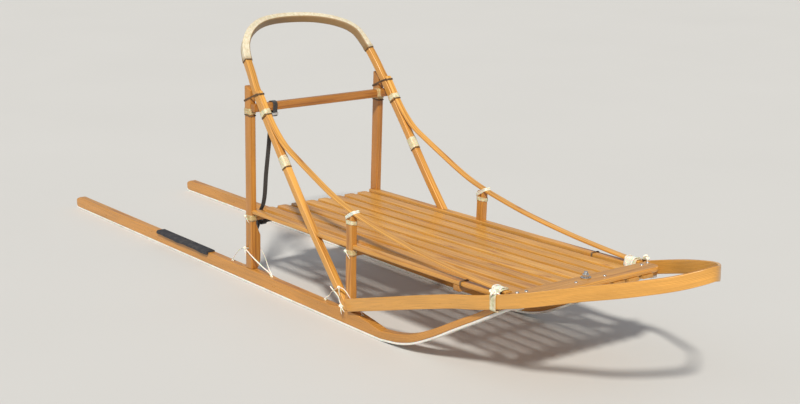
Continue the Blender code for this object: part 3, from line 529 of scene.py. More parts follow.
SHOE_LINE = [
    (0.05, 0.006), (0.07, 0.0), (0.6, 0.0), (1.1, 0.0), (1.6, 0.0), (2.2, 0.0), (2.27, 0.0005),
    (2.377, 0.016), (2.43, 0.031), (2.53, 0.074), (2.651, 0.137), (2.766, 0.196),
    (2.833, 0.2325), (2.87, 0.2515), (2.9, 0.2645), (2.925, 0.269),
]
RUNNER_HEIGHT = [
    (0.05, 0.034), (0.058, 0.043), (0.075, 0.05), (1.39, 0.05), (1.43, 0.0555), (1.53, 0.0555),
    (1.63, 0.05), (1.99, 0.05), (2.03, 0.0555), (2.14, 0.0555), (2.205, 0.0455), (2.27, 0.034),
    (2.377, 0.0345), (2.48, 0.032), (2.6, 0.029), (2.8, 0.0265), (2.87, 0.029),
    (2.9, 0.029), (2.925, 0.026),
]
BOW_LEAN = Vector((0.5, 0, 0.866))
BOW_WIDTH = 0.024
BOW_DEPTH = 0.026
BOW_ROUNDING = 0.0035
GRIP_LOW = 0.812
HANDRAIL_HALF_WIDTH = 0.011
HANDRAIL_DEPTH = 0.009
BRUSH_THICKNESS = 0.009
BRUSH_HEIGHT = 0.043
BRUSH_RAKE = 0.014
BEND_STATION = 2.2
GAUGE = 0.54
RUNNER_WIDTH = 0.031
SHOE_THICKNESS = 0.007
FOOT = 0.056


def bow_path(steps):
    return spline(beside(BOW_LEG + BOW_ARCH, -1) + beside((BOW_LEG + BOW_ARCH)[-2::-1], 1), steps)


def make_bow():
    path = bow_path(5)
    sizes = [(-BOW_WIDTH, 0.0, -BOW_DEPTH, 0.0)] * len(path)
    timber("driving_bow", path, BOW_LEAN, sizes, BOW_ROUNDING, tone=0.25, end_radius=0)


def make_brace(word, side):
    path = spline(beside(BRACE_LINE, side), 5)
    size = (0.0, -side * BOW_WIDTH)
    sizes = [(min(size), max(size), -BOW_DEPTH, 0.0)] * len(path)
    frames = [frame_at(path, i, UP) for i in range(len(path))]
    rings, grain = timber_rings(path, frames, sizes, BOW_ROUNDING)
    tangent = tangent_at(path, len(path) - 1)
    rings[-1] = [p + tangent * ((FOOT - p.z) / tangent.z) for p in rings[-1]]
    finished(f"diagonal_brace_{word}", rings, grain, 0.15 if side < 0 else 0.3)


def make_handrail(word, side):
    path = spline(beside(HANDRAIL_LINE, side), 5)
    sizes = [(-HANDRAIL_HALF_WIDTH, HANDRAIL_HALF_WIDTH, -HANDRAIL_DEPTH, 0.0)] * len(path)
    timber(f"handrail_{word}", path, UP, sizes, radius=0.0025, tone=0.15, end_radius=0.003)


def make_brush_bow():
    path = spline(beside(BRUSH_LINE, -1) + beside(BRUSH_LINE[-2::-1], 1), 6)
    sizes = [(0.0, BRUSH_THICKNESS, -BRUSH_HEIGHT, 0.0)] * len(path)
    frames = [frame_at(path, i, UP) for i in range(len(path))]
    rings, grain = timber_rings(path, frames, sizes, 0.0022)
    for end in (0, -1):
        away = (path[1] - path[0] if end == 0 else path[-2] - path[-1]).normalized()
        for k, (_, _, v) in enumerate(grain[end]):
            rings[end][k] = rings[end][k] + away * BRUSH_RAKE * (-v / BRUSH_HEIGHT)
    finished("brush_bow", rings, grain, 0.12, (0.004, 0.05))


def runner_line():
    flat = {s for s, _ in SHOE_LINE[:6]} | {s for s, _ in RUNNER_HEIGHT[1:11]}
    bend = spline([at(s, 0, z) for s, z in SHOE_LINE[6:]], 5)
    straight = [at(s, 0, SHOE_LINE[0][1] if s == SHOE_LINE[0][0] else 0.0) for s in sorted(flat)]
    return straight + bend


def runner_height(station):
    stations, heights = zip(*RUNNER_HEIGHT)
    return float(np.interp(station, stations, heights))


def make_runner(word, side):
    line = [p + ACROSS * side * GAUGE / 2 for p in runner_line()]
    frames = []
    for i, p in enumerate(line):
        tangent = tangent_at(line, i)
        rise = UP if p.x < BEND_STATION - MIDDLE_STATION else Vector((-tangent.z, 0, tangent.x))
        frames.append((tangent, rise.cross(ALONG).normalized(), rise))
    half = RUNNER_WIDTH / 2
    low = SHOE_THICKNESS + GAP
    sizes = [(-half, half, low, runner_height(p.x + MIDDLE_STATION)) for p in line]
    timber(f"runner_{word}", line, UP, sizes, radius=0.003, tone=0.45, end_radius=0.003, frames=frames)
    rings, grain = timber_rings(line, frames, [(-half, half, 0.0, SHOE_THICKNESS)] * len(line), 0.0018)
    rings, grain = ends_rounded(rings, grain, 0.0015)
    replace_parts(skin(f"runner_shoe_{word}_plastic", rings, grain, SHOE), f"runner_shoe_{word}")


def make_timbers():
    make_bow()
    make_brush_bow()
    for word, side in SIDES.items():
        make_brace(word, side)
        make_handrail(word, side)
        make_runner(word, side)
        straight_piece(f"rear_stanchion_{word}", 0.62 if side < 0 else 0.7)
        straight_piece(f"front_stanchion_{word}", 0.55)
        straight_piece(f"side_rail_{word}", 0.2)
    for number in range(1, 9):
        straight_piece(f"bed_slat_{number}", DRAW.uniform(0.0, 0.3))
    for node, tone in (
        ("top_crossbar", 0.75), ("crosspiece_rear", 0.5), ("crosspiece_front", 0.5),
        ("crosspiece_nose", 0.4), ("front_board", 0.3),
    ):
        straight_piece(node, tone)
    straight_piece("brake_board", 0.6, "brake")


# --- lashings --------------------------------

WRAP_REACH = 0.15
WRAP_ROOM = 0.0006
WRAP_LIFT = 0.0002
TURN_TILT = 0.3
TURN_CROWN = 0.35
END_STAIN = 0.8
EDGE_STAIN = 0.35
CORD_SIDES = 8


def slab_section(node, centre, axis, half):
    """The points where the node's edges lie inside, or cross the faces of, a slab across the axis."""
    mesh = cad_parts[node].data
    verts = [v.co - centre for v in mesh.vertices]
    found = [v for v in verts if abs(v.dot(axis)) <= half]
    for edge in mesh.edges:
        a, b = (verts[k] for k in edge.vertices)
        for level in (-half, half):
            low, high = a.dot(axis) - level, b.dot(axis) - level
            if low * high < 0:
                found.append(a + (b - a) * (low / (low - high)))
    return [v for v in found if v.length < WRAP_REACH]


def turn(a, b, c):
    return (b[0] - a[0]) * (c[1] - a[1]) - (b[1] - a[1]) * (c[0] - a[0])


def hull(points):
    points = sorted({(round(a, 5), round(b, 5)) for a, b in points})
    corners = []
    for run in (points, points[::-1]):
        chain = []
        for p in run:
            while len(chain) > 1 and turn(chain[-2], chain[-1], p) <= 1e-8:
                chain.pop()
            chain.append(p)
        corners += chain[:-1]
    return corners


class Girth:
    """The way round some nodes where they pass a centre: an outline across the axis."""

    def __init__(self, nodes, centre, axis, length):
        self.axis = axis.normalized()
        self.centre = centre
        self.first = self.axis.orthogonal().normalized()
        self.second = self.axis.cross(self.first)
        found = [p for n in nodes for p in slab_section(n, centre, self.axis, length / 2)]
        corners = hull([(p.dot(self.first), p.dot(self.second)) for p in found])
        points, normals = [], []
        for i, corner in enumerate(corners):
            before, after = corners[i - 1], corners[(i + 1) % len(corners)]
            start = math.atan2(before[0] - corner[0], corner[1] - before[1])
            sweep = (math.atan2(corner[0] - after[0], after[1] - corner[1]) - start) % (2 * math.pi)
            for step in range(4):
                angle = start + sweep * step / 3
                normal = (math.cos(angle), math.sin(angle))
                points.append((corner[0] + WRAP_ROOM * normal[0], corner[1] + WRAP_ROOM * normal[1]))
                normals.append(normal)
        points.append(points[0])
        normals.append(normals[0])
        self.points, self.normals = np.array(points), np.array(normals)
        steps = np.linalg.norm(np.diff(self.points, axis=0), axis=1)
        self.run = np.concatenate([[0], np.cumsum(steps)])
        self.length = self.run[-1]

    def place(self, share, shift, lift):
        """The point that share of the way round, shifted along the axis and lifted off; and its normal."""
        at_run = (share % 1.0) * self.length
        point = [np.interp(at_run, self.run, self.points[:, k]) for k in (0, 1)]
        normal = [np.interp(at_run, self.run, self.normals[:, k]) for k in (0, 1)]
        out = (self.first * normal[0] + self.second * normal[1]).normalized()
        root = self.centre + self.first * point[0] + self.second * point[1]
        return root + self.axis * shift + out * lift, out

    def top(self, side):
        """The share of the way round that lies highest, with some weight on the side's outer face."""
        def height(k):
            point, _ = self.place(k / 100, 0, 0)
            return point.z + 0.4 * side * point.y
        return max(range(100), key=height) / 100


def across_path(path, i, out):
    """The ways across the path there and off its surface."""
    tangent = tangent_at(path, i)
    side = tangent.cross(out).normalized()
    return side, side.cross(tangent)


def ribbon(name, places, widths, thicknesses, material):
    """A strip along (point, way out) places: flat below, crowned above, its first edge lifted."""
    path = [p for p, _ in places]
    rings, grain, soil_and_shade = [], [], []
    count = len(places)
    for i, ((point, out), run) in enumerate(zip(places, lengths(path))):
        side, rise = across_path(path, i, out)
        w, t = widths[i] / 2, thicknesses[i]
        shoulder = (1 - TURN_CROWN) * t
        outline = [(-w, 0.15 * t), (-0.55 * w, 0.0), (0.55 * w, 0.0), (w, 0.15 * t), (w, shoulder)]
        outline += [(0.55 * w, t), (-0.55 * w, t), (-w, shoulder)]
        rings.append([point + side * u + rise * (v - TURN_TILT * u / max(w, 1e-6) * t) for u, v in outline])
        grain.append([(run, u, v) for u, v in outline])
        edge = max(0.0, 1 - min(i, count - 1 - i) / 6) * END_STAIN
        soil_and_shade.append([min(1.0, edge + (EDGE_STAIN if abs(u) > 0.9 * w else 0.0)) for u, v in outline])
    return skin(name, rings, grain, material, soil_and_shade=soil_and_shade, crease=60)


def wound(name, girth, length, turns, material, thickness=0.0011, lap=1.12, start=0.0, crossed=0, sway=0.1):
    """A lace wound round the girth, each turn over the edge of the last, then crossed over if asked."""
    width = length / turns * lap
    per_turn = max(28, int(girth.length / 0.004))
    steps = int(turns * per_turn)
    run = (length - width) / 2
    places, widths, thicks = [], [], []
    for i in range(steps + 1):
        share = i / per_turn
        wander = sway * width * math.sin(2.3 * share * math.pi + start * 9)
        shift = -run + 2 * run * i / steps + wander * (0.3 if turns > 2 else 1.0)
        places.append(girth.place(start + share, shift, WRAP_LIFT))
        ease = min(1.0, min(i, steps - i) / 4 + 0.25)
        widths.append(width * (0.4 + 0.6 * ease))
        thicks.append(thickness * ease)
    extra = int(crossed * per_turn)
    for i in range(extra):
        share = (steps + i + 1) / per_turn
        slide = run * math.cos(math.pi * (i + 1) / per_turn)
        places.append(girth.place(start + share, slide, thickness * 0.95))
        widths.append(width * 0.85)
        thicks.append(thickness * min(1.0, (extra - i) / 4 + 0.2))
    return ribbon(name, places, widths, thicks, material)


def lash(node, *winding, **manner):
    """A winding in place of its node."""
    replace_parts(wound(f"{node}_hide", *winding, **manner), node)


def bound(name, girth, shift, material, radius, turns, start):
    """Some turns of round cord, side by side, at that shift along the girth's axis."""
    per_turn = max(40, int(girth.length / 0.003))
    steps = int(turns * per_turn)
    places = []
    for i in range(steps + 1):
        drift = shift + (i / per_turn - turns / 2) * radius * 2.05
        places.append(girth.place(start + i / per_turn, drift, radius))
    return tube(name, places, [radius] * len(places), material)


def tube(name, places, radii, material, flat=1.0, twist=0.0):
    """A cord along (point, way out) places; flat below 1 presses it flat, twist turns it per metre."""
    path = [p for p, _ in places]
    rings, grain = [], []
    for i, ((point, out), run) in enumerate(zip(places, lengths(path))):
        side, rise = across_path(path, i, out)
        ring, values = [], []
        for k in range(CORD_SIDES):
            a = 2 * math.pi * k / CORD_SIDES
            u, v = radii[i] * math.cos(a), radii[i] * flat * math.sin(a)
            b = twist * run
            u, v = u * math.cos(b) - v * math.sin(b), u * math.sin(b) + v * math.cos(b)
            ring.append(point + side * u + rise * v)
            values.append((run, radii[i] * a, 0.0))
        rings.append(ring)
        grain.append(values)
    return skin(name, rings, grain, material, crease=60)


def knot(name, place, across, out, size, radius, material):
    """An overhand knot, pulled tight: across is the way the cord runs, out the way off the surface."""
    across, out = across.normalized(), out.normalized()
    other = out.cross(across)
    count = 46
    places = []
    for i in range(count + 1):
        t = 2 * math.pi * i / count
        u = (math.sin(t) + 2 * math.sin(2 * t)) / 3
        v = (math.cos(t) - 2 * math.cos(2 * t)) / 3
        w = -math.sin(3 * t)
        lift = w * radius * 1.1 + radius * 1.6
        places.append((place + across * u * size + other * v * size * 0.8 + out * lift, out))
    taper = [radius * min(1.0, 0.4 + min(i, count - i) / 4) for i in range(count + 1)]
    return tube(name, places, taper, material)


def tail(name, place, way, out, length, radius, material, droop=0.35):
    """A short loose end that leaves the knot, curls and thins out."""
    way, out = way.normalized(), out.normalized()
    points = []
    for i in range(6):
        t = i / 5
        curl = out * (radius + 0.004 * math.sin(2.6 * t))
        points.append(place + way * length * t + curl - UP * droop * length * t * t)
    places = [(p, out) for p in spline(points, 4)]
    count = len(places)
    radii = [radius * (1 - 0.55 * (i / (count - 1)) ** 3) for i in range(count)]
    return tube(name, places, radii, material, flat=0.6)


CROSSBAR_LOW = Vector((1.5105, -0.288, 0.634))
CROSSBAR_HIGH = Vector((1.535, 0.288, 0.662))
DOWN_LEG = Vector((0.62, 0, -0.785))
DOWN_BOW = Vector((0.36, 0, -0.93))
POST = Vector((-0.5, 0, 0.87))


def make_lashings(word, side):
    bow, rail, brush, side_rail = "driving_bow", f"handrail_{word}", "brush_bow", f"side_rail_{word}"
    rear, front, brace = f"rear_stanchion_{word}", f"front_stanchion_{word}", f"diagonal_brace_{word}"
    y = side * 0.276

    # the handrail's start, tied round the bow's leg and the stanchion's top with dark cord
    girth = Girth([bow, rail, rear], at(1.53, y, 0.6905), DOWN_BOW, 0.012)
    cord = bound(f"bow_lashing_{word}_cord", girth, 0.0, DARK_CORD, 0.001, 3.0, 0.1)
    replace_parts(cord, f"bow_lashing_{word}")
    place, out = girth.place(0.62, 0.001, 0.002)
    knot(f"bow_lashing_{word}_knot", place, UP.cross(out), out, 0.0042, 0.0013, DARK_CORD)

    # pale sleeve of rawhide that holds the handrail to the leg, with a dark cord under it
    girth = Girth([bow, rail], at(1.59, y, 0.64), DOWN_LEG, 0.026)
    lash(f"handrail_rear_lashing_{word}", girth, 0.0245, 4.0, PALE_HIDE, start=0.2)
    bound(f"handrail_rear_lashing_{word}_edge", girth, 0.0132, DARK_CORD, 0.001, 2.0, 0.4)

    # splice of the leg and the brace
    girth = Girth([bow, brace], at(1.705, y, 0.488), DOWN_LEG, 0.05)
    lash(f"splice_wrap_{word}", girth, 0.048, 6.0, PALE_HIDE, 0.001, start=0.55)
    bound(f"splice_wrap_{word}_edge", girth, 0.0248, DARK_CORD, 0.0009, 2.0, 0.3)

    # handrail on the front stanchion, and a band just below
    girth = Girth([rail, front], at(2.094, y, 0.376), POST, 0.01)
    lash(f"handrail_post_lashing_{word}", girth, 0.0125, 3.0, WHITE_HIDE, 0.0011, start=0.1, crossed=1)
    girth = Girth([front], at(2.094, y, 0.356), UP, 0.01)
    wound(f"front_post_band_{word}_hide", girth, 0.018, 3.0, PALE_HIDE, 0.0009, start=0.35)

    # crossbar's end in the rear stanchion, and a band round the crossbar beside it
    girth = Girth([rear], at(1.505, y, 0.632), UP, 0.02)
    lash(f"crossbar_lashing_{word}", girth, 0.026, 4.0, TAN_HIDE, 0.0012, start=0.7)
    bound(f"crossbar_lashing_{word}_edge", girth, -0.0145, DARK_CORD, 0.0009, 2.0, 0.2)
    girth = Girth(["top_crossbar"], at(1.52, side * 0.246, 0.648), ACROSS, 0.012)
    wound(f"crossbar_end_band_{word}_hide", girth, 0.02, 3.0, TAN_HIDE, 0.0012, start=0.1, crossed=1)

    # nose: brush bow, side rail and handrail bound together, with a white coil and knot on top
    girth = Girth([rail, side_rail, brush], at(2.846, y, 0.28), ALONG, 0.026)
    lash(f"nose_lashing_{word}", girth, 0.032, 3.0, PALE_HIDE, 0.0009, lap=1.5, start=0.3, sway=0.02)
    place, out = girth.place(girth.top(side), 0.002, 0.0022)
    knot(f"nose_lashing_{word}_knot", place, ALONG, out, 0.0105, 0.0036, WHITE_HIDE)
    girth = Girth([rail, side_rail], at(2.83, y, 0.295), ALONG, 0.04)
    wound(f"nose_lashing_{word}_coil", girth, 0.044, 5.0, WHITE_HIDE, 0.0024, start=0.6, crossed=2)
    way = ALONG * 0.8 - ACROSS * side * 0.6
    tail(f"nose_lashing_{word}_tail", place, way, out, 0.03, 0.0024, WHITE_HIDE)

    # dark cord round the side rail at the third crosspiece
    girth = Girth([side_rail], at(2.668, side * 0.27, 0.28), ALONG, 0.01)
    bound(f"nose_crosspiece_{word}_cord", girth, 0.0, DARK_CORD, 0.0011, 3.0, 0.2)

    for name, post, middle, height in (
        ("rear", rear, at(1.474, y, 0.2455), 0.024), ("front", front, at(2.094, y, 0.255), 0.022),
    ):
        girth = Girth([post], middle, UP, height)
        lashing = f"{name}_crosspiece_lashing_{word}"
        lash(lashing, girth, height - 0.001, 4.0, TAN_HIDE, 0.0012, start=0.4, crossed=1)
        place, out = girth.place(0.05 if side < 0 else 0.55, 0.004, 0.0025)
        knot(f"{name}_crosspiece_knot_{word}", place, UP.cross(out), out, 0.005, 0.0017, WHITE_HIDE)
        way = UP.cross(out) - UP * 0.4
        tail(f"{name}_crosspiece_tail_{word}", place, way, out, 0.028, 0.0016, WHITE_HIDE)


# Foot laces, as (station, distance from the middle, height): from the hole behind to the hole ahead,
# then the second strand on the outer face, then the place of the knot.
LACE_RADIUS = 0.0032
LACE_FLATNESS = 0.42
LACES = {
    "rear": [
        (1.331, 0.27, 0.04), (1.333, 0.27, 0.056), (1.361, 0.278, 0.079), (1.43, 0.2885, 0.123),
        (1.456, 0.2895, 0.1312), (1.4665, 0.287, 0.1315), (1.467, 0.27, 0.131), (1.467, 0.245, 0.131),
        (1.472, 0.241, 0.129), (1.495, 0.2425, 0.117), (1.57, 0.262, 0.07), (1.597, 0.27, 0.0575),
        (1.598, 0.27, 0.04),
    ],
    "front": [
        (1.935, 0.27, 0.04), (1.937, 0.27, 0.0565), (1.965, 0.274, 0.0745), (1.995, 0.286, 0.096),
        (2.02, 0.2925, 0.11), (2.045, 0.296, 0.124), (2.064, 0.2965, 0.131), (2.072, 0.293, 0.129),
        (2.105, 0.283, 0.099), (2.146, 0.271, 0.061), (2.152, 0.27, 0.053), (2.152, 0.27, 0.04),
    ],
}
OUTER_LACES = {
    "rear": [
        (1.449, 0.29, 0.1312), (1.456, 0.2905, 0.1282), (1.489, 0.289, 0.1115), (1.55, 0.279, 0.08),
        (1.595, 0.2715, 0.056), (1.598, 0.27, 0.044),
    ],
    "front": [
        (2.0, 0.293, 0.118), (2.02, 0.2925, 0.108), (2.052, 0.296, 0.095), (2.072, 0.306, 0.088),
        (2.088, 0.3095, 0.078),
    ],
}
LACE_KNOTS = {"rear": (1.46, 0.2905, 0.1312), "front": (2.062, 0.2975, 0.131)}
HOLE_TOPS = {"rear": (0.0505, 0.0505), "front": (0.0515, 0.0505)}


def make_thong(foot, word, side):
    """A flat lace from the hole behind a foot, round it and on to the hole ahead, and a strand outside it."""
    outward = ACROSS * side
    route = beside(LACES[foot], side)
    if foot == "front":
        bow_end = at(2.09, side * 0.3085, 0.076)
        knot(f"brush_bow_knot_{word}", bow_end, ALONG, outward, 0.008, 0.0023, WHITE_HIDE)
        for k, way in enumerate((ALONG - UP * 0.5, ALONG * 0.2 - UP)):
            tail(f"brush_bow_tail_{k}_{word}", bow_end, way, outward, 0.022, 0.0022, WHITE_HIDE, 0.2)
    for name, points, steps, out, twist in (
        (f"{foot}_foot_strand_{word}", beside(OUTER_LACES[foot], side), 5, outward, 0.0),
        (f"{foot}_foot_thong_{word}_lace", route, 6, (outward + UP * 0.3).normalized(), 9.0),
    ):
        places = [(p, out) for p in spline(points, steps)]
        lace = tube(name, places, [LACE_RADIUS] * len(places), WHITE_HIDE, LACE_FLATNESS, twist)
    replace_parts(lace, f"{foot}_foot_thong_{word}")
    top, = beside([LACE_KNOTS[foot]], side)
    knot(f"{foot}_foot_knot_{word}", top, ALONG, outward, 0.006, 0.0019, WHITE_HIDE)
    tail(f"{foot}_foot_tail_{word}", top, ALONG * 0.3 - UP, outward, 0.026, 0.0018, WHITE_HIDE, 0.1)
    for k, (end, height) in enumerate(zip((route[0], route[-1]), HOLE_TOPS[foot])):
        spot = Vector((end.x, end.y, height))
        knot(f"{foot}_hole_knot_{k}_{word}", spot, ALONG, UP, 0.0042, 0.0016, WHITE_HIDE)


# --- grip ------------------------------------

GRIP_SKIN = 0.0016
GRIP_LIP = 0.0005
GRIP_CORNER = 0.0042
SEAM_RISE = 0.0009
SEAM_WIDTH = 0.0022
STITCH_PITCH = 0.011
STITCH_REACH = 0.004
STITCH_SLANT = 0.0016
STITCH_RADIUS = 0.00055


def make_grip():
    """A rawhide sleeve, shrunk on and darker below with painted shade, with a stitched seam and cord at its
    ends.
    """
    whole = bow_path(8)
    inside = [i for i, p in enumerate(whole) if p.z > GRIP_LOW]
    first, last = inside[0], inside[-1]
    path = whole[first : last + 1]
    run = lengths(path)
    rings, grain, soil_and_shade = [], [], []
    for i, point in enumerate(path):
        _, side, rise = frame_at(whole, first + i, BOW_LEAN)
        end = max(0.0, 1 - min(i, len(path) - 1 - i) / 3)
        swell = GRIP_SKIN + GRIP_LIP * end
        ring, values, stain_and_painted_shade = [], [], []
        for u, v in rounded(-BOW_WIDTH - swell, swell, -BOW_DEPTH - swell, swell, GRIP_CORNER, 4):
            pucker = noise.noise(Vector((run[i] * 14, u * 60, v * 60))) * 0.0003
            ridge = SEAM_RISE * math.exp(-((u + BOW_WIDTH / 2) / SEAM_WIDTH) ** 2) if v < -BOW_DEPTH else 0.0
            away = Vector((u + BOW_WIDTH / 2, v + BOW_DEPTH / 2)).normalized()
            ring.append(point + side * (u + away.x * pucker) + rise * (v + away.y * pucker - ridge))
            values.append((run[i], u, v))
            # Painted shade: the inner face and the underside are marked to darken towards the stain colour.
            shaded = abs(u + BOW_WIDTH + swell) < 0.004 or v < -BOW_DEPTH * 0.8
            stain_and_painted_shade.append(0.8 * end + (1.3 if shaded else 0.0))
        rings.append(ring)
        grain.append(values)
        soil_and_shade.append(stain_and_painted_shade)
    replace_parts(flat_faced(skin("grip_sleeve", rings, grain, GRIP_HIDE, soil_and_shade=soil_and_shade, crease=70)), "grip_wrap")

    stitches = int(run[-1] / STITCH_PITCH)
    bm = bmesh.new()
    for k in range(stitches):
        goal = (k + 0.5) / stitches * run[-1]
        i = min(range(len(path)), key=lambda n: abs(run[n] - goal))
        tangent, side, rise = frame_at(whole, first + i, BOW_LEAN)
        root = path[i] + tangent * (goal - run[i]) - side * BOW_WIDTH / 2 - rise * (BOW_DEPTH + 0.0024)
        reach = side * STITCH_REACH + tangent * STITCH_SLANT
        stitch(bm, root - reach, root + reach, rise, STITCH_RADIUS)
    obj = new_object("grip_stitching", bm, WHITE_HIDE)
    set_attribute(obj, "grain", "FLOAT_VECTOR", [tuple(v.co) for v in obj.data.vertices])
    set_attribute(obj, "soil_and_shade", "FLOAT", [0.2] * len(obj.data.vertices))

    for word, spot, away in (("right", first, 1), ("left", last, -1)):
        tangent = tangent_at(whole, spot)
        girth = Girth(["driving_bow"], whole[spot] - tangent * 0.001 * away, tangent, 0.004)
        bound(f"grip_end_cord_{word}", girth, -0.0014 * away, DARK_CORD, 0.0009, 2.0, 0.3)


def stitch(bm, a, b, rise, radius):
    """A short cord from a to b that bows away from the surface; rise points into it."""
    side = (b - a).normalized().cross(rise).normalized()
    angles = [2 * math.pi * k / 6 for k in range(6)]
    rings = []
    for step in range(6):
        t = step / 5
        middle = a + (b - a) * t - rise * 0.0006 * math.sin(math.pi * t)
        size = radius * (0.5 + 0.5 * math.sin(math.pi * t * 0.9 + 0.15))
        ring = [middle + side * size * math.cos(q) - rise * size * math.sin(q) for q in angles]
        rings.append([bm.verts.new(p) for p in ring])
    join_rings(bm, rings)


# --- foot pads, fasteners --------------------

PAD_START, PAD_END = 0.794, 1.18
RIB_PITCH = 0.006
RIB_RISE = 0.0012


def make_footpad(word, side):
    """A strip of ribbed tread on the runner, folded over its outer edge."""
    count = int((PAD_END - PAD_START) / RIB_PITCH)
    stations = []
    for k in range(count):
        for share, lift in ((0.0, 0.0), (0.18, RIB_RISE), (0.62, RIB_RISE), (0.8, 0.0)):
            stations.append((PAD_START + (k + share) * (PAD_END - PAD_START) / count, lift))
    stations.append((PAD_END, 0.0))
    rings, grain = [], []
    for station, lift in stations:
        run = station - PAD_START
        sag = 0.0012 * math.sin(run * 31) + 0.0008 * math.sin(run * 67)
        outline = [
            (0.257, 0.0504), (0.2866, 0.0504), (0.2872, 0.044 + sag), (0.2935, 0.0428 + sag),
            (0.2962, 0.044 + sag + lift * 0.3), (0.2972, 0.05), (0.2956, 0.055 + lift * 0.7),
            (0.2905, 0.0567 + lift), (0.278, 0.0566 + lift), (0.261, 0.0562 + lift),
            (0.2575, 0.0548 + lift * 0.3),
        ]
        rings.append([at(station, side * y, z) for y, z in outline])
        grain.append([(station, y, z) for y, z in outline])
    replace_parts(skin(f"footpad_{word}_tread", rings, grain, RUBBER, crease=35), f"footpad_{word}")


def turned(bm, place, axis, profile, sides):
    """Adds a round shape on the axis, from (radius, height) points that start and end on it."""
    first = axis.orthogonal().normalized()
    second = axis.cross(first)
    angles = [2 * math.pi * k / sides for k in range(sides)]
    rows = []
    for radius, height in profile:
        middle = place + axis * height
        ring = [middle + first * radius * math.cos(a) + second * radius * math.sin(a) for a in angles]
        rows.append([bm.verts.new(p) for p in (ring if radius else [middle])])
    for near, far in zip(rows, rows[1:]):
        for k in range(sides):
            corners = [near[k % len(near)], near[(k + 1) % len(near)]]
            corners += [far[(k + 1) % len(far)], far[k % len(far)]]
            bm.faces.new(list(dict.fromkeys(corners)))


def pan_screw(name, place, axis, radius, node=None):
    """A domed screw head with a cross slot."""
    bm = bmesh.new()
    dome = [(0.0, -0.0012), (radius, -0.0012), (radius, 0.0004)]
    dome += [(radius * math.cos(a), 0.0004 + radius * 0.48 * math.sin(a)) for a in (0.3, 0.6, 0.9, 1.2)]
    turned(bm, place, axis, dome + [(0.0, 0.0004 + radius * 0.48)], 32)
    head = new_object(name, bm, ZINC, "sled", 35)
    across = axis.orthogonal().normalized()
    spin = DRAW.uniform(0, math.pi)
    for quarter in (0, 1):
        angle = spin + quarter * math.pi / 2
        way = (across * math.cos(angle) + axis.cross(across) * math.sin(angle)).normalized()
        cut_slot(head, place + axis * (radius * 0.52), way, axis, radius)
    if node:
        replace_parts(head, node)


def cut_slot(head, middle, way, axis, radius):
    """Cuts one bar of the cross out of the head."""
    sides = (way * radius * 1.05, axis.cross(way) * radius * 0.2, axis * radius * 0.55)
    matrix = Matrix.Translation(middle) @ Matrix(sides).transposed().to_4x4()
    tool = bmesh.new()
    bmesh.ops.create_cube(tool, size=1.0)
    bmesh.ops.transform(tool, verts=tool.verts, matrix=matrix)
    bmesh.ops.recalc_face_normals(tool, faces=tool.faces)
    tool_mesh = bpy.data.meshes.new("slot")
    tool.to_mesh(tool_mesh)
    tool.free()
    cutter = bpy.data.objects.new("slot", tool_mesh)
    bpy.context.scene.collection.objects.link(cutter)
    modifier = head.modifiers.new("cut", "BOOLEAN")
    modifier.operation = "DIFFERENCE"
    modifier.object = cutter
    bpy.context.view_layer.update()
    graph = bpy.context.evaluated_depsgraph_get()
    mesh = bpy.data.meshes.new_from_object(head.evaluated_get(graph))
    head.modifiers.remove(modifier)
    old = head.data
    head.data = mesh
    bpy.data.meshes.remove(old)
    bpy.data.objects.remove(cutter)
    bpy.data.meshes.remove(tool_mesh)


def make_bolt():
    """The bridle bolt's end: a washer, a hexagon nut with turned-off corners and the threaded tip."""
    low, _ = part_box("bridle_bolt")
    middle = at(2.905, 0, low.z + 0.034)
    bm = bmesh.new()
    washer = [(0, 0.0), (0.0158, 0.0), (0.0163, 0.0005), (0.0163, 0.0016), (0.0157, 0.0022), (0, 0.0022)]
    turned(bm, middle, UP, washer, 48)
    angles = [2 * math.pi * (k + 0.3) / 6 for k in range(6)]
    rows = []
    for height, radius in ((0.0024, 0.0104), (0.0034, 0.0113), (0.01, 0.0113), (0.011, 0.0103)):
        ring = [Vector((radius * math.cos(a), radius * math.sin(a), height)) for a in angles]
        rows.append([bm.verts.new(middle + p) for p in ring])
    join_rings(bm, rows)
    thread = [(0.0, 0.0105), (0.0056, 0.0105)]
    height = 0.0112
    while height < 0.0178:
        thread += [(0.006, height), (0.0054, height + 0.0006)]
        height += 0.00125
    turned(bm, middle, UP, thread + [(0.0056, 0.0182), (0.0044, 0.019), (0.0, 0.0192)], 32)
    shank = [(0.0, -0.034), (0.004, -0.034), (0.0045, -0.0335), (0.0045, -0.001), (0.0, -0.001)]
    turned(bm, middle, UP, shank, 24)
    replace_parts(new_object("bridle_bolt_end", bm, ZINC, "sled", 28), "bridle_bolt")


def make_fasteners():
    make_bolt()
    for word, side in SIDES.items():
        _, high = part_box(f"board_screw_{word}")
        top = high.z - 0.0026
        node = f"board_screw_{word}"
        pan_screw(f"{node}_head", at(2.9, side * 0.262, top), UP, 0.0058, node)
        pan_screw(f"board_screw_inner_{word}", at(2.905, side * 0.232, top), UP, 0.0058)
        pan_screw(f"board_screw_middle_{word}", at(2.925, side * 0.058, top + 0.0004), UP, 0.0052)


# --- brake -----------------------------------

STRAP_Y = -0.205
STRAP_AWAY = 0.0022


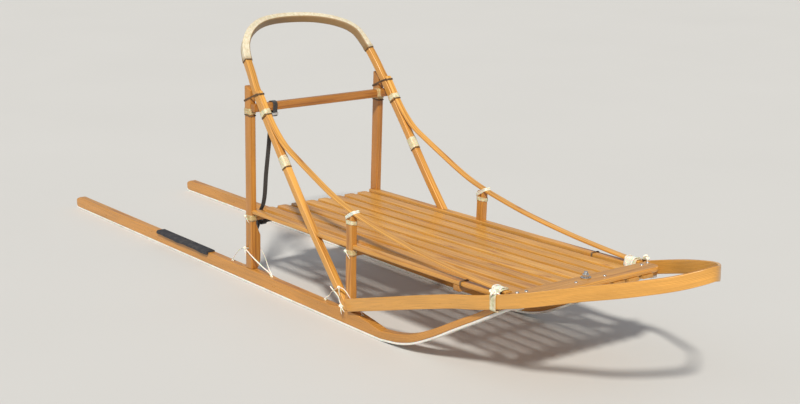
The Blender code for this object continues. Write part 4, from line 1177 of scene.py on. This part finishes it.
def make_strap():
    """A webbing strap that loops over the crossbar, runs down and hooks round the brake's claw."""
    low, high = CROSSBAR_LOW, CROSSBAR_HIGH
    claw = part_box("brake_claw")[1].z
    route = [
        (high.x + STRAP_AWAY, 0.613), (high.x + STRAP_AWAY, 0.64), (high.x + STRAP_AWAY, high.z - 0.001),
        (high.x - 0.003, high.z + STRAP_AWAY), (low.x + 0.003, high.z + STRAP_AWAY),
        (low.x - STRAP_AWAY, high.z - 0.001), (low.x - STRAP_AWAY, 0.64),
        (low.x - STRAP_AWAY - 0.001, 0.613), (1.502, 0.57), (1.47, 0.4), (1.444, 0.275),
        (1.419, 0.235), (1.4185, claw - 0.006), (1.423, claw - 0.0112), (1.45, claw - 0.0112),
        (1.4545, claw - 0.005), (1.4545, claw + 0.008),
    ]
    outline = [(-0.009, 0), (-0.0086, -0.0008), (-0.004, -0.001), (0.0, -0.0009), (0.004, -0.001)]
    outline += [(0.0086, -0.0008)]
    outline += [(-u, -v) for u, v in outline]
    path = spline([at(station, STRAP_Y, z) for station, z in route], 8)
    rings, grain = [], []
    for i, (point, run) in enumerate(zip(path, lengths(path))):
        rise = tangent_at(path, i).cross(ACROSS).normalized()
        rings.append([point + ACROSS * u + rise * v for u, v in outline])
        grain.append([(run, u, v) for u, v in outline])
    strap = skin("brake_strap_webbing", rings, grain, WEBBING, body=None, crease=60)
    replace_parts(strap, "brake_strap")
    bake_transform(strap)


def painted(node, material):
    """The node itself, with its material."""
    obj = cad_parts[node]
    obj.data.materials.clear()
    obj.data.materials.append(material)


def make_brake():
    painted("brake_hinge", BLACK_STEEL)
    painted("brake_claw", BLACK_STEEL)
    painted("strap_slide", ZINC)
    make_strap()


# --- studio ----------------------------------

FLOOR_SIZE = 60
FLOOR_DROP = 0.0005
SKY_COLOUR, SKY_STRENGTH = (0.93, 0.95, 1.0, 1), 0.38
BACKDROP_COLOUR = (0.7, 0.7, 0.68, 1)
SUNS = (
    ("key", (0.8, -0.7, 1.00), 3.7, 6.0, (1.0, 0.95, 0.86)),
    ("fill", (-0.6, -0.8, 0.9), 0.3, 60.0, (0.92, 0.96, 1.0)),
)
CAMERA_PLACE = (4.345, -3.054, 1.598)
CAMERA_TURN = (53.16, 13.63, 0.11)
CAMERA_LENS = 69.57


def make_studio():
    """A pale floor, a soft sky, a pale backdrop that only the camera sees, and two suns."""
    bpy.ops.mesh.primitive_plane_add(size=FLOOR_SIZE, location=(0, 0, -FLOOR_DROP))
    floor = bpy.context.object
    floor.name = "studio_floor"
    floor.data.materials.append(floor_material())

    scene = bpy.context.scene
    scene.view_settings.view_transform = "Standard"
    world = bpy.data.worlds.new("studio")
    scene.world = world
    world.use_nodes = True
    nodes, links = world.node_tree.nodes, world.node_tree.links
    sky = nodes["Background"]
    sky.inputs["Color"].default_value = SKY_COLOUR
    sky.inputs["Strength"].default_value = SKY_STRENGTH
    backdrop = nodes.new("ShaderNodeBackground")
    backdrop.inputs["Color"].default_value = BACKDROP_COLOUR
    seen = nodes.new("ShaderNodeLightPath").outputs["Is Camera Ray"]
    either = nodes.new("ShaderNodeMixShader")
    for socket, value in zip(either.inputs, (seen, sky.outputs[0], backdrop.outputs[0])):
        links.new(value, socket)
    links.new(either.outputs[0], nodes["World Output"].inputs["Surface"])

    for name, way, energy, angle, colour in SUNS:
        light = bpy.data.lights.new(name, "SUN")
        light.energy = energy
        light.angle = math.radians(angle)
        light.color = colour
        lamp = bpy.data.objects.new(name, light)
        lamp.rotation_euler = Vector(way).to_track_quat("Z", "Y").to_euler()
        scene.collection.objects.link(lamp)


def make_camera():
    camera = bpy.data.cameras.new("camera")
    camera.lens = CAMERA_LENS
    camera.sensor_width = 36
    azimuth, elevation, roll = (math.radians(d) for d in CAMERA_TURN)
    level = math.cos(elevation)
    back = Vector((math.sin(azimuth) * level, -math.cos(azimuth) * level, math.sin(elevation)))
    holder = bpy.data.objects.new("camera", camera)
    turn_back = back.to_track_quat("Z", "Y").to_matrix() @ Matrix.Rotation(roll, 3, "Z")
    holder.matrix_world = Matrix.Translation(CAMERA_PLACE) @ turn_back.to_4x4()
    bpy.context.scene.collection.objects.link(holder)
    bpy.context.scene.camera = holder


make_camera()
make_studio()
make_timbers()
make_grip()
for word, side in SIDES.items():
    make_lashings(word, side)
    make_thong("rear", word, side)
    make_thong("front", word, side)
    make_footpad(word, side)
make_fasteners()
make_brake()
